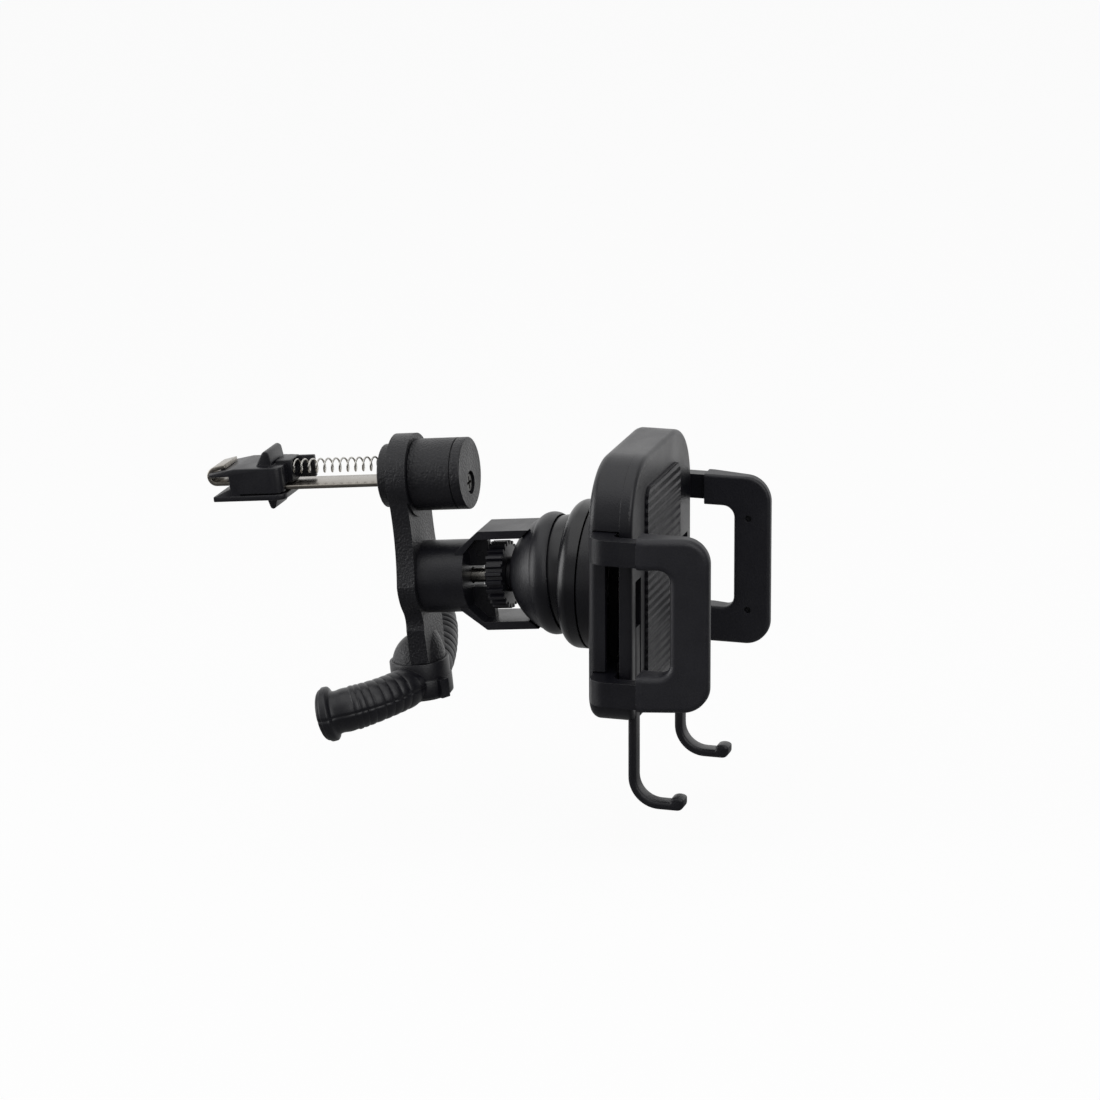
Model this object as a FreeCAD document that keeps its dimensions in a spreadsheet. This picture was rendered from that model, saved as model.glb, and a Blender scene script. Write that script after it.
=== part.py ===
import FreeCAD, Part
import math
import operator
import os
from types import SimpleNamespace

import Sketcher

# Air vent phone mount: a sprung steel hook grips a vent louvre, a flat arm hangs from the hook's swivel, and a
# friction dome carries a cradle with two sliding jaws. Millimetres, +Z up, the hook points along +Y into the
# vent, and the origin is where the louvre lies in the hook.

DOC = FreeCAD.newDocument("vent_phone_mount")
SHEET = DOC.addObject("Spreadsheet::Sheet", "Sheet")
VECTOR = FreeCAD.Vector

# Driving dimensions: name, value and what it measures
DIMENSIONS = (
    ("strip_width", 9.6, "steel strip, across"),
    ("strip_thick", 1.05, "steel strip, thickness"),
    ("hook_gap", 2.1, "inside of the hook, where the louvre lies"),
    ("hook_reach", 3.5, "hook's nose in front of the origin"),
    ("hook_leg", 1.2, "straight end of the hook's short leg"),
    ("strip_rise", 1.5, "step up in the strip behind the hook"),
    ("rise_start", 6.5, "step's upper end behind the origin"),
    ("rise_run", 4.0, "length of the step"),
    ("strip_bury", 7.0, "strip held inside the spindle"),
    ("clip_reach", 43.7, "origin to the flange's back face"),
    ("axis_drop", 1.9, "swivel axis below the origin"),
    ("flange_radius", 8.1, "flange behind the arm"),
    ("flange_thick", 3.2, "flange, thickness"),
    ("spindle_radius", 5.5, "spindle through the arm's eye"),
    ("ring_depth", 5.3, "arm's eye, along the swivel axis"),
    ("barrel_radius", 9.2, "swivel barrel and yoke barrel"),
    ("barrel_length", 11.5, "swivel barrel without its cap"),
    ("yoke_radius", 9.3, "yoke's barrel, outside"),
    ("cap_thick", 2.4, "end cap of the swivel barrel"),
    ("cap_groove", 0.35, "groove beside the end cap, depth"),
    ("screw_drop", 2.5, "cap screw below the swivel axis"),
    ("cap_recess", 3.0, "round recess of the cap screw, radius"),
    ("recess_depth", 1.6, "round recess of the cap screw, depth"),
    ("screw_head", 2.2, "cap screw's head, radius"),
    ("screw_sink", 1.1, "cap screw's head, depth"),
    ("screw_shank", 1.25, "cap screw's shank, radius"),
    ("cross_reach", 1.65, "arms of the cap screw's cross"),
    ("cross_half", 0.35, "half the width of the cross"),
    ("cross_depth", 0.66, "depth of the cross"),
    ("screw_length", 9.0, "cap screw under its head"),
    ("yoke_thread", 8.0, "yoke screw in the barrel"),
    ("yoke_head", 3.3, "yoke screw's head, radius"),
    ("yoke_sink", 2.2, "yoke screw's seat in the arm, depth"),
    ("spring_rise", 3.3, "spring's axis above the swivel axis"),
    ("spring_radius", 1.7, "spring at the middle of its wire"),
    ("wire_radius", 0.25, "spring's wire"),
    ("spring_turns", 13.0, "turns of the spring"),
    ("peg_radius", 1.2, "pegs inside the spring's ends"),
    ("peg_length", 2.0, "pegs inside the spring's ends, length"),
    ("jaw_half", 7.8, "clip jaw, half its width"),
    ("jaw_nose", 1.9, "clip jaw's prongs in front of the origin"),
    ("jaw_notch", 2.7, "bottom of the jaw's notch behind the origin"),
    ("jaw_back", 12.0, "back of the jaw's block behind the origin"),
    ("jaw_top", 2.2, "jaw's top plate above the origin"),
    ("prong_under", 0.9, "upper prongs' underside above the origin"),
    ("prong_floor", 4.2, "lower plate's top below the origin"),
    ("plate_thick", 1.4, "jaw's lower plate"),
    ("nose_thick", 0.5, "upper prongs at their noses"),
    ("nose_run", 2.5, "slope of the upper prongs behind the notch"),
    ("block_round", 1.5, "rounded back corners of the jaw's block"),
    ("plate_back", 13.4, "back of the jaw's lower plate behind the origin"),
    ("plate_round", 2.0, "rounded back corners of the lower plate"),
    ("seam_start", 3.2, "groove over the lower plate behind the notch"),
    ("seam_height", 0.5, "groove over the lower plate"),
    ("seam_depth", 1.3, "groove over the lower plate, depth"),
    ("tab_height", 4.5, "finger tab above the jaw"),
    ("tab_half", 5.0, "finger tab above the jaw, half its width"),
    ("tab_front", 2.6, "finger tab's foot in front of the jaw's back"),
    ("tab_lean", 0.4, "finger tab's crest in front of the jaw's back"),
    ("tab_crest", 1.2, "finger tab's crest"),
    ("tab_back", 1.6, "finger tab behind the jaw's back"),
    ("tab_drop", 3.0, "finger tab under the jaw"),
    ("under_thick", 2.4, "finger tab under the jaw, thickness"),
    ("under_half", 4.7, "finger tab under the jaw, half its width"),
    ("shelf_reach", 21.4, "back of the wall beside the spring behind the origin"),
    ("roof_half", 2.6, "spring's seat, half its width"),
    ("roof_rise", 4.4, "spring's seat above the origin"),
    ("wall_thick", 1.0, "wall beside the spring"),
    ("pocket_floor", 15.8, "spring's seat in the jaw behind the origin"),
    ("slide_gap", 0.3, "clearance between sliding pieces"),
    ("turn_gap", 0.05, "clearance of turning fits, on the radius"),
    ("face_gap", 0.1, "clearance between faces that turn on each other"),
    ("arm_thick", 4.8, "arm's bar"),
    ("arm_spacing", 26.9, "swivel axis to the yoke's axis"),
    ("eye_radius", 10.7, "arm's eye, outside"),
    ("boss_radius", 11.0, "arm's boss, outside"),
    ("waist_arc", 46.0, "radius of the arm's hollow sides"),
    ("boss_turn", 40.0, "end of the boss below its middle, degrees"),
    ("neck_drop", 12.4, "arm's neck below the yoke's axis"),
    ("neck_half", 7.5, "arm below its boss, half its width"),
    ("neck_arc", 5.6, "radius of the hollow between the arm's boss and neck"),
    ("foot_half", 7.0, "arm at its foot, half its width"),
    ("collar_drop", 21.6, "yoke's axis to the foot collar's rim"),
    ("peg_foot", 6.9, "arm's round peg, radius"),
    ("peg_depth", 6.0, "peg inside the collar"),
    ("peg_set", 2.5, "peg's axis behind the middle of the arm"),
    ("peg_dome", 12.2, "domed shoulder of the peg above the collar"),
    ("rear_dome", 6.9, "domed shoulder behind the arm, height"),
    ("rear_arc", 8.6, "radius of the shoulder behind the arm"),
    ("dome_arc", 14.3, "radius of the peg's shoulder"),
    ("collar_wall", 0.75, "foot collar's wall"),
    ("collar_floor", 2.2, "foot collar's floor"),
    ("lug_width", 2.4, "lug on the foot's collar, across"),
    ("lug_height", 4.7, "lug on the foot's collar"),
    ("lug_low", 8.3, "lug's lower end below the collar's rim"),
    ("lug_proud", 0.9, "lug in front of the collar's wall"),
    ("lug_turn", -122.0, "lug round the collar, degrees"),
    ("leg_root", 7.0, "start of the legs below the collar's rim"),
    ("leg_radius", 5.4, "foot's legs"),
    ("near_half_x", 13.3, "middle of the near leg to the left"),
    ("near_half_y", 5.4, "middle of the near leg towards the vent"),
    ("near_half_z", 7.4, "middle of the near leg below the collar's rim"),
    ("near_end_x", 19.8, "end of the near leg to the left"),
    ("near_end_y", 16.0, "end of the near leg towards the vent"),
    ("near_end_z", 7.6, "end of the near leg below the collar's rim"),
    ("far_half_x", 14.5, "middle of the far leg to the right"),
    ("far_half_y", 0.4, "middle of the far leg towards the vent"),
    ("far_half_z", 2.8, "middle of the far leg below the collar's rim"),
    ("far_end_x", 25.5, "end of the far leg to the right"),
    ("far_end_y", 4.0, "end of the far leg towards the vent"),
    ("far_end_z", 4.5, "end of the far leg above the collar's rim"),
    ("flare_radius", 7.1, "flared ends of the legs"),
    ("flare_length", 1.8, "length of the flare"),
    ("rim_length", 2.6, "straight rim of the flare"),
    ("yoke_barrel", 12.3, "yoke's barrel"),
    ("yoke_length", 26.9, "yoke's barrel to the dome's centre"),
    ("strap_width", 12.6, "yoke's straps, across"),
    ("strap_thick", 2.1, "yoke's straps"),
    ("strap_half", 12.95, "yoke's axis to the outside of a strap"),
    ("strap_start", 7.6, "strap's outside where it leaves the barrel"),
    ("strap_slope", 6.6, "length of the strap's sloping part"),
    ("strap_root", 2.2, "strap's start inside the barrel's end"),
    ("strap_inset", 2.7, "strap's thickness across at its root"),
    ("strap_crook", 0.85, "strap's inner bend before its outer one"),
    ("web_thick", 2.4, "web between the straps"),
    ("neck_height", 5.6, "slot in the web round the bolt"),
    ("ball_radius", 14.8, "friction dome, outside"),
    ("dome_wall", 2.0, "friction dome's wall"),
    ("joint_gap", 0.3, "gap between the joint's spherical faces"),
    ("cup_wall", 1.2, "socket's wall"),
    ("cup_mouth", 2.6, "socket's rim behind the dome's centre"),
    ("lip_length", 4.8, "rolled rim, along the axis"),
    ("lip_edge", 0.18, "flat edge of the rolled rim"),
    ("lip_arc", 3.8, "radius of the rolled rim"),
    ("seat_radius", 4.5, "wheel's seat behind the socket"),
    ("seat_reach", 16.75, "dome's centre to the wheel's seat"),
    ("wheel_radius", 8.7, "thumb wheel over its teeth"),
    ("tooth_depth", 1.1, "thumb wheel's teeth"),
    ("wheel_thick", 4.3, "thumb wheel"),
    ("wheel_teeth", 24, "number of the wheel's teeth"),
    ("tooth_foot", 1.27, "wheel's teeth at their feet"),
    ("tooth_crest", 0.8, "wheel's teeth at their crests"),
    ("tooth_root", 0.4, "wheel's teeth inside its rim"),
    ("bolt_radius", 1.85, "draw bolt"),
    ("bolt_head", 4.0, "draw bolt's head, radius"),
    ("head_thick", 3.2, "draw bolt's head, thickness at its edge"),
    ("bolt_tip", 3.4, "draw bolt's end inside the yoke's barrel"),
    ("washer_wall", 2.0, "spherical washer's wall"),
    ("washer_edge", 8.3, "spherical washer, radius of its edge"),
    ("washer_slope", 1.2, "slope of the washer's edge"),
    ("slot_half", 3.4, "half the length of the washer's slot"),
    ("pole_radius", 5.0, "hole at the dome's pole"),
    ("tilt", 5.9, "cradle's lean at rest, degrees"),
    ("base_face", 0.0, "dome's centre to the base's back face"),
    ("base_inner", 15.3, "base's back face, radius"),
    ("base_radius", 19.0, "base, radius"),
    ("base_swell", 3.0, "length of the base's rounded edge"),
    ("base_arc", 3.4, "radius of the base's rounded edge"),
    ("base_seam", 5.6, "dome's centre to the seam of the base"),
    ("spigot_radius", 12.0, "base's spigot in the rear shell"),
    ("spigot_bore", 8.7, "opening through the spigot"),
    ("shoulder", 3.8, "shell's shoulder round the spigot"),
    ("retainer_radius", 14.8, "retaining plate"),
    ("retainer_thick", 1.6, "retaining plate, thickness"),
    ("shell_back", 11.6, "dome's centre to the shell's back"),
    ("shell_depth", 8.4, "rear shell"),
    ("shell_wall", 1.6, "housing's wall"),
    ("front_thick", 3.2, "front plate"),
    ("cushion_thick", 0.7, "cushion on the front plate"),
    ("cushion_half", 15.5, "cushion, half its width"),
    ("housing_half", 28.5, "housing, half its width"),
    ("housing_top", 35.5, "housing's top above the dome's centre"),
    ("housing_base", 30.7, "housing's bottom below the dome's centre"),
    ("top_corner", 16.0, "housing's upper corners"),
    ("base_corner", 7.0, "housing's lower corners"),
    ("back_round", 2.4, "rounded back edge of the shell"),
    ("front_round", 1.2, "rounded front edge of the front plate"),
    ("post_radius", 2.6, "screw posts in the shell"),
    ("post_across", 17.4, "screw posts from the middle"),
    ("post_above", 28.0, "upper screw posts above the dome's centre"),
    ("post_below", 27.0, "lower screw posts below the dome's centre"),
    ("case_screw", 1.1, "housing screws, radius"),
    ("case_head", 1.9, "housing screws' heads, radius"),
    ("case_bite", 1.6, "housing screws in the front plate"),
    ("case_pilot", 1.9, "housing screws' holes in the front plate"),
    ("ring_screws", 10.35, "retaining plate's screws from the axis"),
    ("grip", 29.3, "middle to a jaw's gripping face"),
    ("jaw_centre", 2.1, "jaws' middle below the dome's centre"),
    ("bar_height", 6.4, "jaw bars, height"),
    ("bar_spacing", 36.4, "jaw bars, centre to centre"),
    ("bar_thick", 5.8, "jaw bars inside the housing"),
    ("bar_forward", 4.0, "jaw bars beside the phone, thickness"),
    ("bar_inner", 9.0, "jaw bars' inner ends from the middle"),
    ("bar_corner", 5.0, "rounded outer corner of the jaw bars"),
    ("bar_crook", 2.2, "rounded inner corner of the jaw bars"),
    ("jaw_outer", 36.2, "middle to a jaw's outer face"),
    ("pad_seam", 26.4, "dome's centre to the start of the grip pads"),
    ("pad_front", 43.9, "dome's centre to the front of the grip pads"),
    ("pad_nose", 32.3, "middle to the outside of a grip pad at its front"),
    ("pad_height", 44.6, "grip pads"),
    ("window_height", 27.1, "opening in the grip pads"),
    ("window_lift", 0.65, "opening's middle above the middle of the grip pads"),
    ("pad_bar", 9.6, "front bar of the grip pads"),
    ("pad_corner", 6.5, "grip pads' outer corners"),
    ("window_corner", 3.0, "grip pads' inner corners"),
    ("pad_round", 1.6, "rounded edges of the grip pads"),
    ("pin_radius", 0.85, "small holes in the grip pads"),
    ("pin_depth", 1.5, "small holes in the grip pads, depth"),
    ("pin_set", 5.8, "small holes behind the front of the grip pads"),
    ("pin_spacing", 24.4, "small holes, centre to centre"),
    ("pin_drop", 0.95, "small holes' middle below the middle of the grip pads"),
    ("link_inner", 9.4, "jaw's link plate, inner edge from the middle"),
    ("link_width", 5.0, "jaw's link plate, across"),
    ("link_thick", 2.0, "jaw's link plate, thickness"),
    ("rack_back", 4.4, "rack's back above its pitch line"),
    ("rack_end", 15.4, "rack's end past the middle"),
    ("gear_pitch", 5.0, "pinion's pitch radius"),
    ("gear_teeth", 10, "number of the pinion's teeth"),
    ("gear_add", 0.8, "tooth above the pitch line"),
    ("gear_ded", 1.15, "tooth below the pitch line"),
    ("gear_thick", 3.6, "pinion's thickness"),
    ("axle_radius", 1.9, "pinion's axle"),
    ("axle_end", 0.4, "axle beyond the pinion"),
    ("gear_foot", 1.44, "pinion's teeth at their feet"),
    ("gear_crest", 0.52, "pinion's teeth at their crests"),
    ("gear_root", 0.4, "pinion's teeth inside its hub"),
    ("rack_foot", 1.82, "rack's teeth at their feet"),
    ("rack_crest", 0.63, "rack's teeth at their crests"),
    ("rack_teeth", 8, "number of the rack's teeth"),
    ("foot_across", 22.3, "J feet from the middle"),
    ("foot_width", 4.6, "J feet, width"),
    ("foot_thick", 2.1, "J feet, thickness"),
    ("foot_drop", 53.0, "J feet's lowest point below the dome's centre"),
    ("foot_bend", 8.0, "J feet's outer bend"),
    ("foot_toe", 35.5, "dome's centre to the J feet's toes"),
    ("toe_rise", 3.2, "toe's height"),
    ("toe_thick", 3.1, "toe's thickness"),
    ("foot_top", 6.0, "J feet's upper ends below the dome's centre"),
    ("foot_travel", 12.0, "free channel above the J feet"),
)


class Size:
    """A number together with the sheet expression that it comes from."""

    def __init__(self, value, text):
        self.value = float(value)
        self.text = text

    def __float__(self):
        return self.value

    def __add__(self, other):
        return combine(self, "+", other)

    def __radd__(self, other):
        return combine(other, "+", self)

    def __sub__(self, other):
        return combine(self, "-", other)

    def __rsub__(self, other):
        return combine(other, "-", self)

    def __mul__(self, other):
        return combine(self, "*", other)

    def __rmul__(self, other):
        return combine(other, "*", self)

    def __truediv__(self, other):
        return combine(self, "/", other)

    def __rtruediv__(self, other):
        return combine(other, "/", self)

    def __neg__(self):
        return combine(-1, "*", self)


SIGNS = {"+": operator.add, "-": operator.sub, "*": operator.mul, "/": operator.truediv}


def words(value):
    """The expression of a size, or a plain number as text."""
    return value.text if isinstance(value, Size) else repr(float(value))


def combine(left, sign, right):
    """Join two sizes with one sign."""
    number = SIGNS[sign](float(left), float(right))
    return Size(number, f"({words(left)} {sign} {words(right)})")


def root(value):
    """The square root of a size."""
    return Size(math.sqrt(float(value)), f"sqrt({words(value)})")


def sine(angle):
    """The sine of a size in degrees."""
    return Size(math.sin(math.radians(float(angle))), f"sin({words(angle)} * 1 deg)")


def cosine(angle):
    """The cosine of a size in degrees."""
    return Size(math.cos(math.radians(float(angle))), f"cos({words(angle)} * 1 deg)")


def leg(hypotenuse, side):
    """The other side of a right triangle."""
    return root(hypotenuse * hypotenuse - side * side)


def fill_sheet():
    """Write the driving dimensions into the sheet and return them by name."""
    sizes = {}
    for row, (name, value, meaning) in enumerate(DIMENSIONS, start=1):
        SHEET.set(f"A{row}", meaning)
        SHEET.set(f"B{row}", str(value))
        SHEET.setAlias(f"B{row}", name)
        sizes[name] = Size(value, f"Sheet.{name}")
    DOC.recompute()
    return SimpleNamespace(**sizes)


d = fill_sheet()

# Stations along Y of the hook, the arm and the yoke
flange_back = -d.clip_reach
ring_back = flange_back - d.flange_thick
ring_front = ring_back - d.ring_depth
arm_front = ring_back - d.arm_thick
arm_middle = ring_back - d.arm_thick / 2
peg_y = arm_middle + d.peg_set
cap_joint = ring_front - d.barrel_length
cap_face = cap_joint - d.cap_thick
yoke_end = arm_front - d.yoke_barrel
ball_y = yoke_end - d.yoke_length
wheel_front = ball_y + d.seat_reach
wheel_back = wheel_front + d.wheel_thick

# Heights of the two axes and of the foot's collar
axis_z = -d.axis_drop
yoke_z = axis_z - d.arm_spacing
collar_z = yoke_z - d.collar_drop

# Stations along Y of the cradle, from the dome's centre
seam_y = -d.shell_back - d.shell_depth
front_y = seam_y - d.front_thick
cushion_y = front_y - d.cushion_thick

PLANES = {"XY": "XY_Plane", "XZ": "XZ_Plane", "YZ": "YZ_Plane"}


def bind(thing, name, value):
    """Tie a property to the sheet."""
    thing.setExpression(name, words(value))


def place(thing, y=0.0, z=0.0, lean=None):
    """Put a piece's own origin at a height and depth of the mount, leaning about X where it has to."""
    angle = 0.0 if lean is None else float(lean)
    thing.Placement = FreeCAD.Placement(VECTOR(0, float(y), float(z)), FreeCAD.Rotation(VECTOR(1, 0, 0), angle))
    bind(thing, "Placement.Base.y", y)
    bind(thing, "Placement.Base.z", z)
    if lean is not None:
        bind(thing, "Placement.Rotation.Angle", lean)
    return thing


def on_yoke(thing):
    """A piece on the yoke's axis."""
    return place(thing, 0.0, yoke_z)


def on_dome(thing):
    """A piece of the cradle, whose own origin is the dome's centre."""
    return place(thing, ball_y, yoke_z, d.tilt)


def new_body(name):
    """An empty body under its own name."""
    body = DOC.addObject("PartDesign::Body", name)
    body.Label = name
    return body


def draw_circle(drawing, x, y, radius):
    """A circle pinned to the sheet."""
    circle = Part.Circle(VECTOR(float(x), float(y), 0), VECTOR(0, 0, 1), float(radius))
    index = drawing.addGeometry(circle, False)
    pin(drawing, index, 3, x, y)
    hold = drawing.addConstraint(Sketcher.Constraint("Radius", index, float(radius)))
    bind(drawing, f"Constraints[{hold}]", radius)


def pin(drawing, index, end, x, y):
    """Hold one point of a sketch at its two coordinates."""
    for direction, value in (("DistanceX", x), ("DistanceY", y)):
        hold = drawing.addConstraint(Sketcher.Constraint(direction, -1, 1, index, end, float(value)))
        bind(drawing, f"Constraints[{hold}]", value)


def arc_between(start, end, radius):
    """An arc from start to end: a positive radius turns left, a negative one right."""
    a = VECTOR(float(start[0]), float(start[1]), 0)
    b = VECTOR(float(end[0]), float(end[1]), 0)
    chord = b - a
    rise = math.sqrt(max(float(radius) ** 2 - chord.Length ** 2 / 4, 0.0))
    side = VECTOR(-chord.y, chord.x, 0).normalize()
    centre = (a + b) * 0.5 + side * math.copysign(rise, float(radius))
    first, last = (a, b) if float(radius) > 0 else (b, a)
    angles = [math.atan2(point.y - centre.y, point.x - centre.x) for point in (first, last)]
    circle = Part.Circle(centre, VECTOR(0, 0, 1), abs(float(radius)))
    return Part.ArcOfCircle(circle, angles[0], angles[1])


def draw_outline(drawing, corners):
    """A closed loop through the corners. A third number is the radius of the arc that leads to the corner."""
    spans = []
    for number, corner in enumerate(corners):
        start = corners[number - 1]
        if len(corner) == 3:
            index = drawing.addGeometry(arc_between(start, corner, corner[2]), False)
            ends = (1, 2) if float(corner[2]) > 0 else (2, 1)
            radius = corner[2] if float(corner[2]) > 0 else -corner[2]
            hold = drawing.addConstraint(Sketcher.Constraint("Radius", index, float(radius)))
            bind(drawing, f"Constraints[{hold}]", radius)
        else:
            a = VECTOR(float(start[0]), float(start[1]), 0)
            b = VECTOR(float(corner[0]), float(corner[1]), 0)
            index = drawing.addGeometry(Part.LineSegment(a, b), False)
            ends = (1, 2)
        spans.append((index, ends))
    for number, (index, ends) in enumerate(spans):
        before, before_ends = spans[number - 1]
        drawing.addConstraint(Sketcher.Constraint("Coincident", before, before_ends[1], index, ends[0]))
        pin(drawing, index, ends[1], corners[number][0], corners[number][1])


def sketch(body, plane, outlines=(), circles=(), at=0.0):
    """A sketch on one of the body's own planes, moved along the plane's axis."""
    drawing = body.newObject("Sketcher::SketchObject", f"{body.Name}_sketch")
    support = [item for item in body.Origin.OriginFeatures if item.Role == PLANES[plane]][0]
    drawing.AttachmentSupport = [(support, "")]
    drawing.MapMode = "FlatFace"
    bind(drawing, "AttachmentOffset.Base.z", -1 * at if plane == "XZ" else at)
    for outline in outlines:
        draw_outline(drawing, outline)
    for circle in circles:
        draw_circle(drawing, *circle)
    return drawing


def box(x0, x1, y0, y1):
    """A rectangle as a loop of corners."""
    return ((x0, y0), (x1, y0), (x1, y1), (x0, y1))


def settle(body, feature, shrinks=False):
    """Make a feature the body's tip and see that it changed the body the way it should."""
    before = body.Shape.Volume if not body.Shape.isNull() else 0.0
    DOC.recompute()
    body.Tip = feature
    DOC.recompute()
    change = body.Shape.Volume - before
    if (change >= 0) == shrinks:
        raise RuntimeError(f"{feature.Name} of {body.Label} changed the volume by {change:.3f}")
    return feature


def pad(body, drawing, length, side="One side", reverse=False):
    """Raise a sketch."""
    feature = body.newObject("PartDesign::Pad", f"{body.Name}_pad")
    feature.Profile = drawing
    feature.SideType = side
    feature.Reversed = reverse
    bind(feature, "Length", length)
    return settle(body, feature)


def pocket(body, drawing, length, side="One side", reverse=False):
    """Sink a sketch into the body, to the same side as a pad would rise."""
    feature = body.newObject("PartDesign::Pocket", f"{body.Name}_pocket")
    feature.Profile = drawing
    feature.SideType = side
    feature.Reversed = not reverse
    bind(feature, "Length", length)
    return settle(body, feature, shrinks=True)


def revolve(body, drawing, axis="H_Axis", angle=360, reverse=False):
    """Turn a sketch into a solid."""
    feature = body.newObject("PartDesign::Revolution", f"{body.Name}_turned")
    feature.Profile = drawing
    feature.ReferenceAxis = (drawing, [axis])
    feature.Angle = angle
    feature.Reversed = reverse
    return settle(body, feature)


def groove(body, drawing, axis="H_Axis"):
    """Turn a sketch out of a solid."""
    feature = body.newObject("PartDesign::Groove", f"{body.Name}_bored")
    feature.Profile = drawing
    feature.ReferenceAxis = (drawing, [axis])
    feature.Angle = 360
    return settle(body, feature, shrinks=True)


def axis_of(body, role):
    """One of the body's own axes."""
    return [item for item in body.Origin.OriginFeatures if item.Role == role][0]


def polar(body, feature, count):
    """Repeat a feature round the body's Y axis."""
    pattern = body.newObject("PartDesign::PolarPattern", f"{body.Name}_ring")
    pattern.Originals = [feature]
    pattern.Axis = (axis_of(body, "Y_Axis"), [""])
    pattern.Angle = 360
    bind(pattern, "Occurrences", count)
    body.Tip = pattern
    DOC.recompute()
    return pattern


def row(body, feature, role, length, count, reverse=False):
    """Repeat a feature along one of the body's axes, over a whole length."""
    pattern = body.newObject("PartDesign::LinearPattern", f"{body.Name}_row")
    pattern.Originals = [feature]
    pattern.Direction = (axis_of(body, role), [""])
    pattern.Reversed = reverse
    bind(pattern, "Length", length)
    bind(pattern, "Occurrences", count)
    body.Tip = pattern
    DOC.recompute()
    return pattern


def fillet(body, radius, wanted):
    """Round the edges whose middle point passes the test."""
    tip = body.Tip
    names = []
    for number, edge in enumerate(tip.Shape.Edges, start=1):
        middle = edge.valueAt((edge.FirstParameter + edge.LastParameter) / 2)
        if wanted(edge, middle):
            names.append(f"Edge{number}")
    if not names:
        raise RuntimeError(f"no edge of {body.Label} to round")
    feature = body.newObject("PartDesign::Fillet", f"{body.Name}_round")
    feature.Base = (tip, names)
    bind(feature, "Radius", radius)
    body.Tip = feature
    DOC.recompute()
    return feature


def at_station(value, target, within=0.02):
    """True where a coordinate is at a station."""
    return abs(value - float(target)) < within


# Vent hook

strip_top = -d.hook_gap / 2
hook_outer = d.hook_gap / 2 + d.strip_thick
hook_centre = d.hook_reach - hook_outer
strip_low = strip_top - d.strip_rise
strip_root = flange_back - d.strip_bury


def hook_strip():
    """Steel strip, stepped up behind the hook and bent back on itself round the louvre."""
    body = new_body("hook_strip")
    inner = d.hook_gap / 2
    rise_end = -d.rise_start - d.rise_run
    outline = (
        (strip_root, strip_low - d.strip_thick),
        (rise_end, strip_low - d.strip_thick),
        (-d.rise_start, strip_top - d.strip_thick),
        (hook_centre, -hook_outer),
        (hook_centre + hook_outer, 0.0, hook_outer),
        (hook_centre, hook_outer, hook_outer),
        (hook_centre - d.hook_leg, hook_outer),
        (hook_centre - d.hook_leg, inner),
        (hook_centre, inner),
        (hook_centre + inner, 0.0, -inner),
        (hook_centre, -inner, -inner),
        (-d.rise_start, strip_top),
        (rise_end, strip_low),
        (strip_root, strip_low),
    )
    pad(body, sketch(body, "YZ", [outline]), d.strip_width, "Symmetric")
    return body


def spindle_flange():
    """Flange behind the arm's eye and the spindle through it, slotted for the strip."""
    body = place(new_body("spindle_flange"), 0.0, axis_z)
    outline = (
        (flange_back, 0.0),
        (flange_back, d.flange_radius),
        (ring_back + d.face_gap, d.flange_radius),
        (ring_back + d.face_gap, d.spindle_radius),
        (cap_joint, d.spindle_radius),
        (cap_joint, 0.0),
    )
    revolve(body, sketch(body, "YZ", [outline]))
    slot_top = strip_low + d.axis_drop
    slot = box(-d.strip_width / 2, d.strip_width / 2, slot_top - d.strip_thick, slot_top)
    pocket(body, sketch(body, "XZ", [slot], at=flange_back), d.strip_bury)
    peg = (0.0, d.spring_rise, d.peg_radius)
    pad(body, sketch(body, "XZ", circles=[peg], at=flange_back), d.peg_length, reverse=True)
    pilot = (0.0, -d.screw_drop, d.screw_shank)
    depth = d.screw_length + d.recess_depth - d.cap_thick
    pocket(body, sketch(body, "XZ", circles=[pilot], at=cap_joint), depth, reverse=True)
    fillet(body, d.cap_groove, lambda edge, middle: at_station(middle.y, flange_back) and edge.Length > 40)
    return body


def swivel_barrel():
    """Front half of the swivel, a tube on the spindle."""
    body = place(new_body("swivel_barrel"), 0.0, axis_z)
    bore = d.spindle_radius + d.turn_gap
    lip = cap_joint + d.cap_groove
    outline = (
        (ring_front - d.face_gap, bore),
        (ring_front - d.face_gap, d.barrel_radius),
        (lip, d.barrel_radius),
        (lip, d.barrel_radius - d.cap_groove),
        (cap_joint, d.barrel_radius - d.cap_groove),
        (cap_joint, bore),
    )
    revolve(body, sketch(body, "YZ", [outline]))
    return body


def barrel_cap():
    """End cap of the swivel, with a round recess for its screw."""
    body = place(new_body("barrel_cap"), 0.0, axis_z)
    disc = (0.0, 0.0, d.barrel_radius)
    pad(body, sketch(body, "XZ", circles=[disc], at=cap_joint), d.cap_thick)
    recess = (0.0, -d.screw_drop, d.cap_recess)
    pocket(body, sketch(body, "XZ", circles=[recess], at=cap_face), d.recess_depth, reverse=True)
    hole = (0.0, -d.screw_drop, d.screw_shank + d.turn_gap)
    pocket(body, sketch(body, "XZ", circles=[hole], at=cap_face), d.cap_thick, reverse=True)
    fillet(body, d.cap_groove, lambda edge, middle: at_station(middle.y, cap_face) and edge.Length > 40)
    return body


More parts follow.
